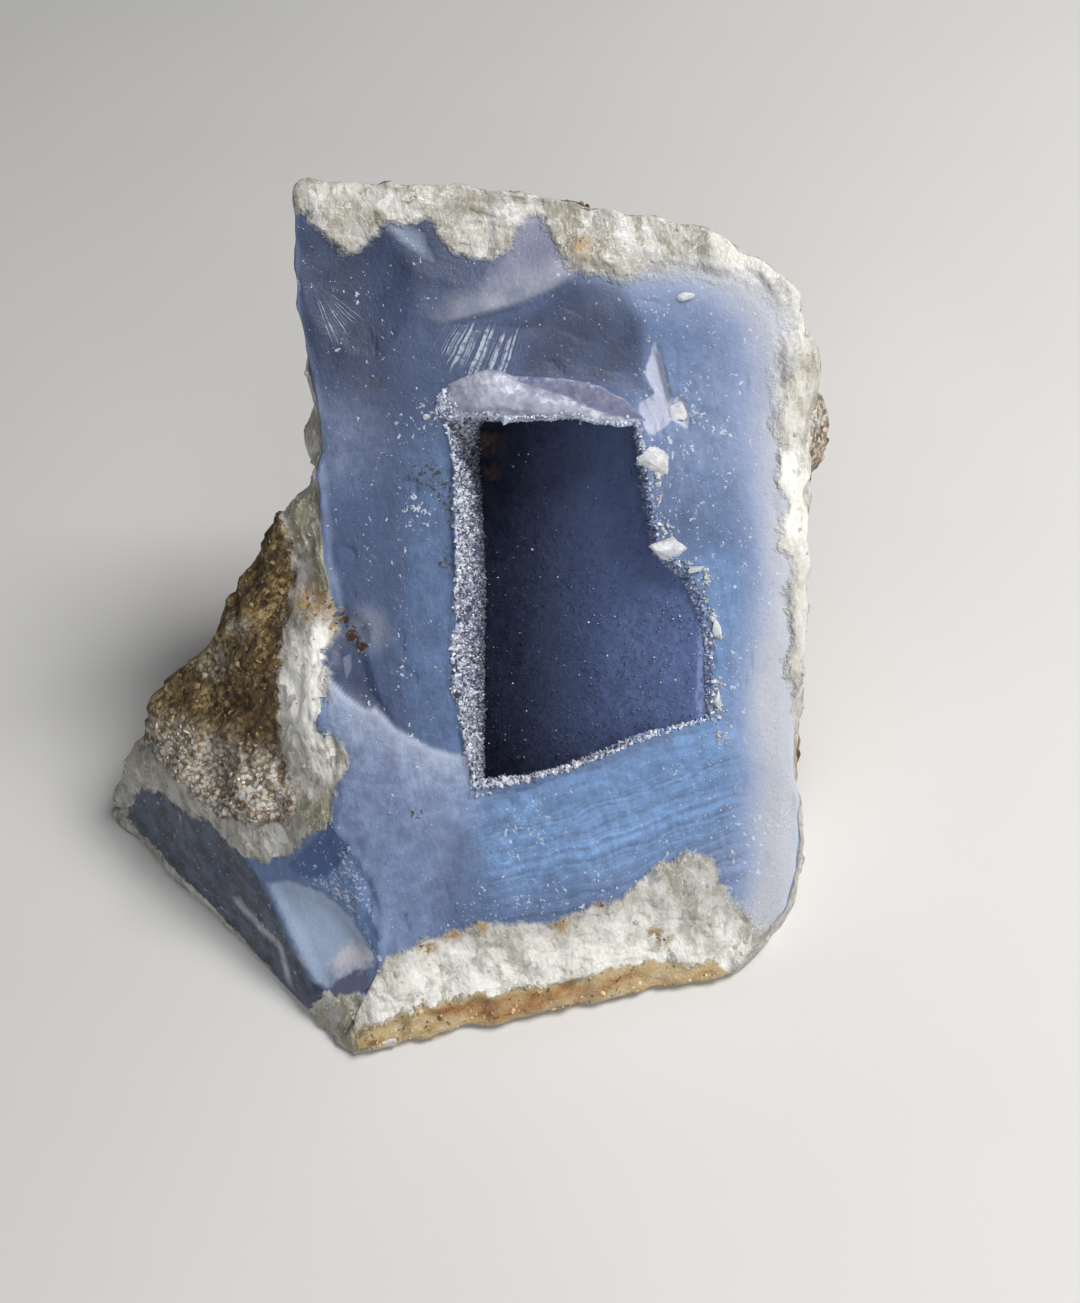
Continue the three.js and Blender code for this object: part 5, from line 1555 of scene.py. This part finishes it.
# The small pieces: how many, how wide in millimetres, and the seed of their random numbers
LIP_CRYSTALS = 1500
RIND_GRAINS = 700
SKIN_GRAINS = 5200
GRAIN_WIDTH = 0.24
CRUMBS = 330
CRUMB_WIDTH = 0.13
CRUMB_ROWS = 100  # crumbs lie on the rows of the stone up to this one, off the outline
SEEDS = {"crystals": 11, "lip": 31, "grains": 23, "chips": 5}

# The white chips: their middles on the face, and their half sizes out of it, across and up it
CHIP_MIDDLES = np.array([
    [21.9, 57.2], [21.3, 48.8], [25.0, 61.4], [23.3, 33.0], [23.6, 46.3], [24.3, 39.8], [27.2, 71.9]])
CHIP_SIZES = np.array([
    [0.35, 1.7, 1.3], [0.5, 1.7, 1.25], [0.35, 0.9, 1.5], [0.3, 0.5, 0.9], [0.25, 1.3, 0.35],
    [0.3, 0.45, 1.1], [0.25, 1.0, 0.45]])
LIP_COLOURS = (0.28, 0.29, 0.38), (0.60, 0.61, 0.69)
RIND_COLOURS = (0.5, 0.49, 0.43), (0.88, 0.88, 0.88)
CRUMB_COLOURS = (0.5, 0.52, 0.6), (0.66, 0.68, 0.76), (0.84, 0.85, 0.9)
CHIP_COLOURS = (0.5, 0.52, 0.6), (0.70, 0.72, 0.78), (0.86, 0.87, 0.9)


class AGATE_OT_stone(bpy.types.Operator):
    """Make the stone: its broken face, the sides and the base, as one closed surface"""
    bl_idname = "agate.stone"
    bl_label = "Stone"

    def execute(self, context):
        grid, field = MADE["stone"] = stone_surface()
        kept = {name: value for name, value in field.items() if name not in ("place", "share", "shown")}
        piece = closed_mesh("agate_stone", grid, kept)
        dress(piece, stone_material(context.scene.agate_sizes), "agate", "agate")
        return {"FINISHED"}


class AGATE_OT_lining(bpy.types.Operator):
    """Line the hollow with a crust of fine quartz"""
    bl_idname = "agate.lining"
    bl_label = "Hollow's lining"

    def execute(self, context):
        grid, field = MADE["lining"] = lining_surface()
        brown = spots(field["place"], LINING_BROWN) * (1 - field["wall"])
        piece = closed_mesh("druse_lining", grid, {
            "depth": field["depth"], "frost": field["frost"], "brown": brown})
        dress(piece, druse_material(context.scene.agate_sizes, "druse crust", 0.3),
              "druse", "druse_crust")
        return {"FINISHED"}


class AGATE_OT_crystals(bpy.types.Operator):
    """Stand small quartz crystals all over the hollow's floor, walls and rim"""
    bl_idname = "agate.crystals"
    bl_label = "Druse crystals"

    def execute(self, context):
        sizes = context.scene.agate_sizes
        rng = np.random.default_rng(SEEDS["crystals"])
        grid, field = MADE["lining"]
        shown = LINING["floor"] + LINING["wall"] + LINING["rim"] - 2
        weight = np.full(grid.shape[:2], 0.35)
        weight[LINING["floor"]:] = 2.6
        weight[shown:] = 0
        places, normals, row, column = sample(grid, weight, sizes.crystal_count, rng)
        wall = field["wall"][row, column]
        depth = field["depth"][row, column]
        width = sizes.crystal_width / MM / 2 * rng.lognormal(0, 0.3, len(places)) * (0.85 + 0.35 * wall)
        width = width * np.where(wall > 0.5, 1.0, 0.6)
        cover = field["frost"][row, column]
        frost = np.clip(cover * 2.6 * rng.random(len(places)) ** 1.6, 0, 1)
        # A few crystals turned near white: painted glints on the hollow's floor
        frost = np.where(rng.random(len(places)) < 0.018, 0.9, frost)
        # Wall crystals left of u 14 take the deep, painted shade colour of the floor
        depth = np.maximum(depth, 9 * wall * (field["place"][row, column, 0] < 14))
        tall = rng.uniform(0.7, 1.5, len(places))
        crystal, faces = crystal_shape()
        piece = scattered(
            "druse_crystals", crystal, [faces], places + normals * 0.03, turned(normals, 0.35, rng),
            crystal_sizes(width, tall), {"frost": frost, "depth": depth, "brown": 0 * frost})
        dress(piece, druse_material(sizes, "druse crystals", 0.1), "druse")
        return {"FINISHED"}


class AGATE_OT_lip(bpy.types.Operator):
    """Hang the thick quartz lip over the hollow's upper edge"""
    bl_idname = "agate.lip"
    bl_label = "Quartz lip"

    def execute(self, context):
        sizes = context.scene.agate_sizes
        grid, field = lip_surface()
        piece = closed_mesh("quartz_lip", grid, field)
        tint, top = LIP_COLOURS
        dress(piece, frost_material("lilac quartz", tint, sizes.frost, top), "druse")
        self.sugar(sizes, grid)
        return {"FINISHED"}

    def sugar(self, sizes, grid):
        """Small crystals on the lip's left end and lower border."""
        rng = np.random.default_rng(SEEDS["lip"])
        part = np.linspace(0, 1, len(grid))[:, None]
        turn = np.arange(grid.shape[1])[None] / grid.shape[1] * 2 * math.pi
        weight = 1.5 * (1 - smooth(part, 0.06, 0.24)) * (turn < 1.25 * math.pi)
        weight = weight + (1 - smooth(np.abs(turn - 0.9 * math.pi) + 0 * part, 0.15, 0.6))
        places, normals, _, _ = sample(grid, weight, LIP_CRYSTALS, rng)
        tall = rng.uniform(0.7, 1.4, len(places))
        width = sizes.crystal_width / MM / 2 * rng.lognormal(0, 0.3, len(places))
        axes = turned(normals, 0.35, rng)
        frost = rng.uniform(0.35, 0.95, len(places))
        crystal, faces = crystal_shape()
        piece = scattered("lip_crystals", crystal, [faces], places, axes, crystal_sizes(width, tall),
                          {"frost": frost, "depth": 0 * tall, "brown": 0 * tall})
        dress(piece, druse_material(sizes, "lip crystals", 0.1), "druse")


class AGATE_OT_grains(bpy.types.Operator):
    """Set loose-edged grains into the quartz rind and grit into the rough skin"""
    bl_idname = "agate.grains"
    bl_label = "Rind and skin grains"

    def execute(self, context):
        sizes = context.scene.agate_sizes
        rng = np.random.default_rng(SEEDS["grains"])
        grid, field = MADE["stone"]
        above = (grid[..., 2] > 0.6) * field["shown"]
        quartz = smooth(field["quartz"], 0.2, 1.2) * (1 - smooth(field["skin"], -0.8, 0.2)) * above
        skin = smooth(field["skin"], 0.2, 1.5) * above
        tint, top = RIND_COLOURS
        for name, weight, count, material in (
                ("rind_grains", quartz, RIND_GRAINS,
                 frost_material("rind quartz", tint, sizes.quartz_white, top)),
                ("skin_grit", skin, SKIN_GRAINS, grit_material(sizes))):
            places, normals, row, column = sample(grid, weight, count, rng)
            points, face_sets = chip_shapes(count, 6, 4, rng)
            size = GRAIN_WIDTH * rng.lognormal(0, 0.35, count)[:, None] * rng.uniform(0.6, 1.1, (count, 3))
            size[:, 2] *= 0.7
            piece = scattered(name, points, face_sets, places - normals * 0.1,
                              turned(normals, 0.5, rng), size,
                              {"layer": np.zeros(count), "tan": field["tan"][row, column],
                               "cream": field["cream"][row, column], "light": rng.random(count)})
            dress(piece, material, "agate")
        return {"FINISHED"}


class AGATE_OT_chips(bpy.types.Operator):
    """Stick white chips and crumbs to the face, mostly along the hollow's right edge"""
    bl_idname = "agate.chips"
    bl_label = "Chips and crumbs"

    def execute(self, context):
        rng = np.random.default_rng(SEEDS["chips"])
        self.crumbs(rng)
        self.chips(rng)
        return {"FINISHED"}

    def crumbs(self, rng):
        """Crumbs in small heaps along the hollow's edge."""
        grid, field = MADE["stone"]
        rows = field["shown"] * (np.arange(len(grid))[:, None] < CRUMB_ROWS)
        places, normals, _, _ = sample(grid, spots(field["place"], CRUMB_SPOTS) * rows, CRUMBS, rng)
        points, face_sets = chip_shapes(CRUMBS, 7, 5, rng, 0.3, 0.85)
        size = CRUMB_WIDTH * rng.lognormal(0, 0.5, CRUMBS)[:, None] * rng.uniform(0.6, 1.2, (CRUMBS, 3))
        piece = scattered("quartz_crumbs", points, face_sets, places, turned(normals, 0.5, rng),
                          size, {"layer": np.zeros(CRUMBS)})
        dress(piece, frost_material("crumb quartz", *CRUMB_COLOURS), "druse")

    def chips(self, rng):
        """The seven larger flakes."""
        count = len(CHIP_MIDDLES)
        points, face_sets = chip_shapes(count, 56, 36, rng, 0.35, 0.8)
        uneven = 0.1 * noise(points * 3 + 7, 0.8) + 0.05 * noise(points * 3, 0.3)
        points = points * (1 + uneven)[..., None]
        axes = np.stack([FACE_OUT, FACE_RIGHT, FACE_UP])[None].repeat(count, axis=0)
        u, v = CHIP_MIDDLES.T
        centres = on_face(u, v, relief(u, v) + 0.15)
        piece = scattered("white_chips", points, face_sets, centres, axes, CHIP_SIZES,
                          {"layer": np.zeros(count)})
        dress(piece, frost_material("chip quartz", *CHIP_COLOURS), "druse")


# The stage, in metres
FLOOR_HALF = 3.0
LIGHT_AIM = (0.0, 0.0, 0.025)
KEY_LIGHT = {"place": (0.275, -0.08, 0.43), "size": 0.16, "colour": (1.0, 0.99, 0.97)}
FILL_LIGHT = {"place": (0.03, -0.46, 0.32), "size": 0.4, "colour": (0.95, 0.97, 1.0)}
SKY_COLOUR = (0.92, 0.95, 1.0, 1.0)
NEAR_CLIP = 0.01


def square_light(name, power, place, size, colour):
    """A square light, in metres and watts, that shines at the middle of the stone."""
    light = bpy.data.lights.new(name, "AREA")
    light.shape = "RECTANGLE"
    light.size, light.size_y = size, size
    light.energy, light.color = power, colour
    lamp = bpy.data.objects.new(name, light)
    lamp.location = place
    lamp.rotation_euler = (Vector(LIGHT_AIM) - Vector(place)).to_track_quat("-Z", "Y").to_euler()
    bpy.context.scene.collection.objects.link(lamp)


def place_camera(scene):
    """The camera, placed, pitched and rolled by the values at the top of the file."""
    camera = bpy.data.objects.new("camera", bpy.data.cameras.new("camera"))
    camera.data.lens, camera.data.sensor_width = LENS_MM, SENSOR_MM
    camera.data.clip_start = NEAR_CLIP
    up = Vector((0, math.sin(PITCH), math.cos(PITCH)))
    right = Vector((1, 0, 0))
    image_right = math.cos(ROLL) * right + math.sin(ROLL) * up
    image_up = -math.sin(ROLL) * right + math.cos(ROLL) * up
    back = Vector((0, -math.cos(PITCH), math.sin(PITCH)))
    turn = Matrix((image_right, image_up, back)).transposed()
    camera.matrix_world = Matrix.Translation(Vector(EYE * MM)) @ turn.to_4x4()
    scene.collection.objects.link(camera)
    scene.camera = camera


class AGATE_OT_stage(bpy.types.Operator):
    """Lay the pale floor and place the camera and the soft lights"""
    bl_idname = "agate.stage"
    bl_label = "Stage"

    def execute(self, context):
        stage = context.scene.agate_stage
        mesh = bpy.data.meshes.new("floor")
        corners = [(-1, -1), (1, -1), (1, 1), (-1, 1)]
        mesh.from_pydata([(FLOOR_HALF * x, FLOOR_HALF * y, 0) for x, y in corners], [], [(0, 1, 2, 3)])
        floor = bpy.data.objects.new("floor", mesh)
        context.scene.collection.objects.link(floor)
        mesh.materials.append(floor_material(stage.floor_colour))
        square_light("key light", stage.key_power, **KEY_LIGHT)
        square_light("fill light", stage.fill_power, **FILL_LIGHT)
        world = bpy.data.worlds.new("surroundings")
        world.use_nodes = True
        background = world.node_tree.nodes["Background"]
        background.inputs["Color"].default_value = SKY_COLOUR
        background.inputs["Strength"].default_value = stage.sky_light
        context.scene.world = world
        context.scene.view_settings.view_transform = "Standard"
        place_camera(context.scene)
        return {"FINISHED"}


PIECES = ("stone", "lining", "crystals", "lip", "grains", "chips", "stage")


class AGATE_PT_panel(bpy.types.Panel):
    """Sizes, colours and the buttons that make each piece"""
    bl_idname = "AGATE_PT_panel"
    bl_label = "Agate"
    bl_space_type = "VIEW_3D"
    bl_region_type = "UI"
    bl_category = "Agate"

    def draw(self, context):
        for group in (context.scene.agate_sizes, context.scene.agate_stage):
            column = self.layout.column()
            for name in group.bl_rna.properties.keys():
                if name not in ("rna_type", "name"):
                    column.prop(group, name)
        for name in PIECES:
            self.layout.operator("agate." + name)


CLASSES = (AgateSizes, AgateStage, AGATE_OT_stone, AGATE_OT_lining, AGATE_OT_crystals, AGATE_OT_lip,
           AGATE_OT_grains, AGATE_OT_chips, AGATE_OT_stage, AGATE_PT_panel)


def register():
    """Make the settings, operators and panel known."""
    for each in CLASSES:
        bpy.utils.register_class(each)
    bpy.types.Scene.agate_sizes = bpy.props.PointerProperty(type=AgateSizes)
    bpy.types.Scene.agate_stage = bpy.props.PointerProperty(type=AgateStage)


def unregister():
    """Take them away again."""
    del bpy.types.Scene.agate_stage
    del bpy.types.Scene.agate_sizes
    for each in reversed(CLASSES):
        bpy.utils.unregister_class(each)


def main():
    """Make every piece."""
    register()
    for name in PIECES:
        getattr(bpy.ops.agate, name)()


if __name__ == "__main__":
    main()
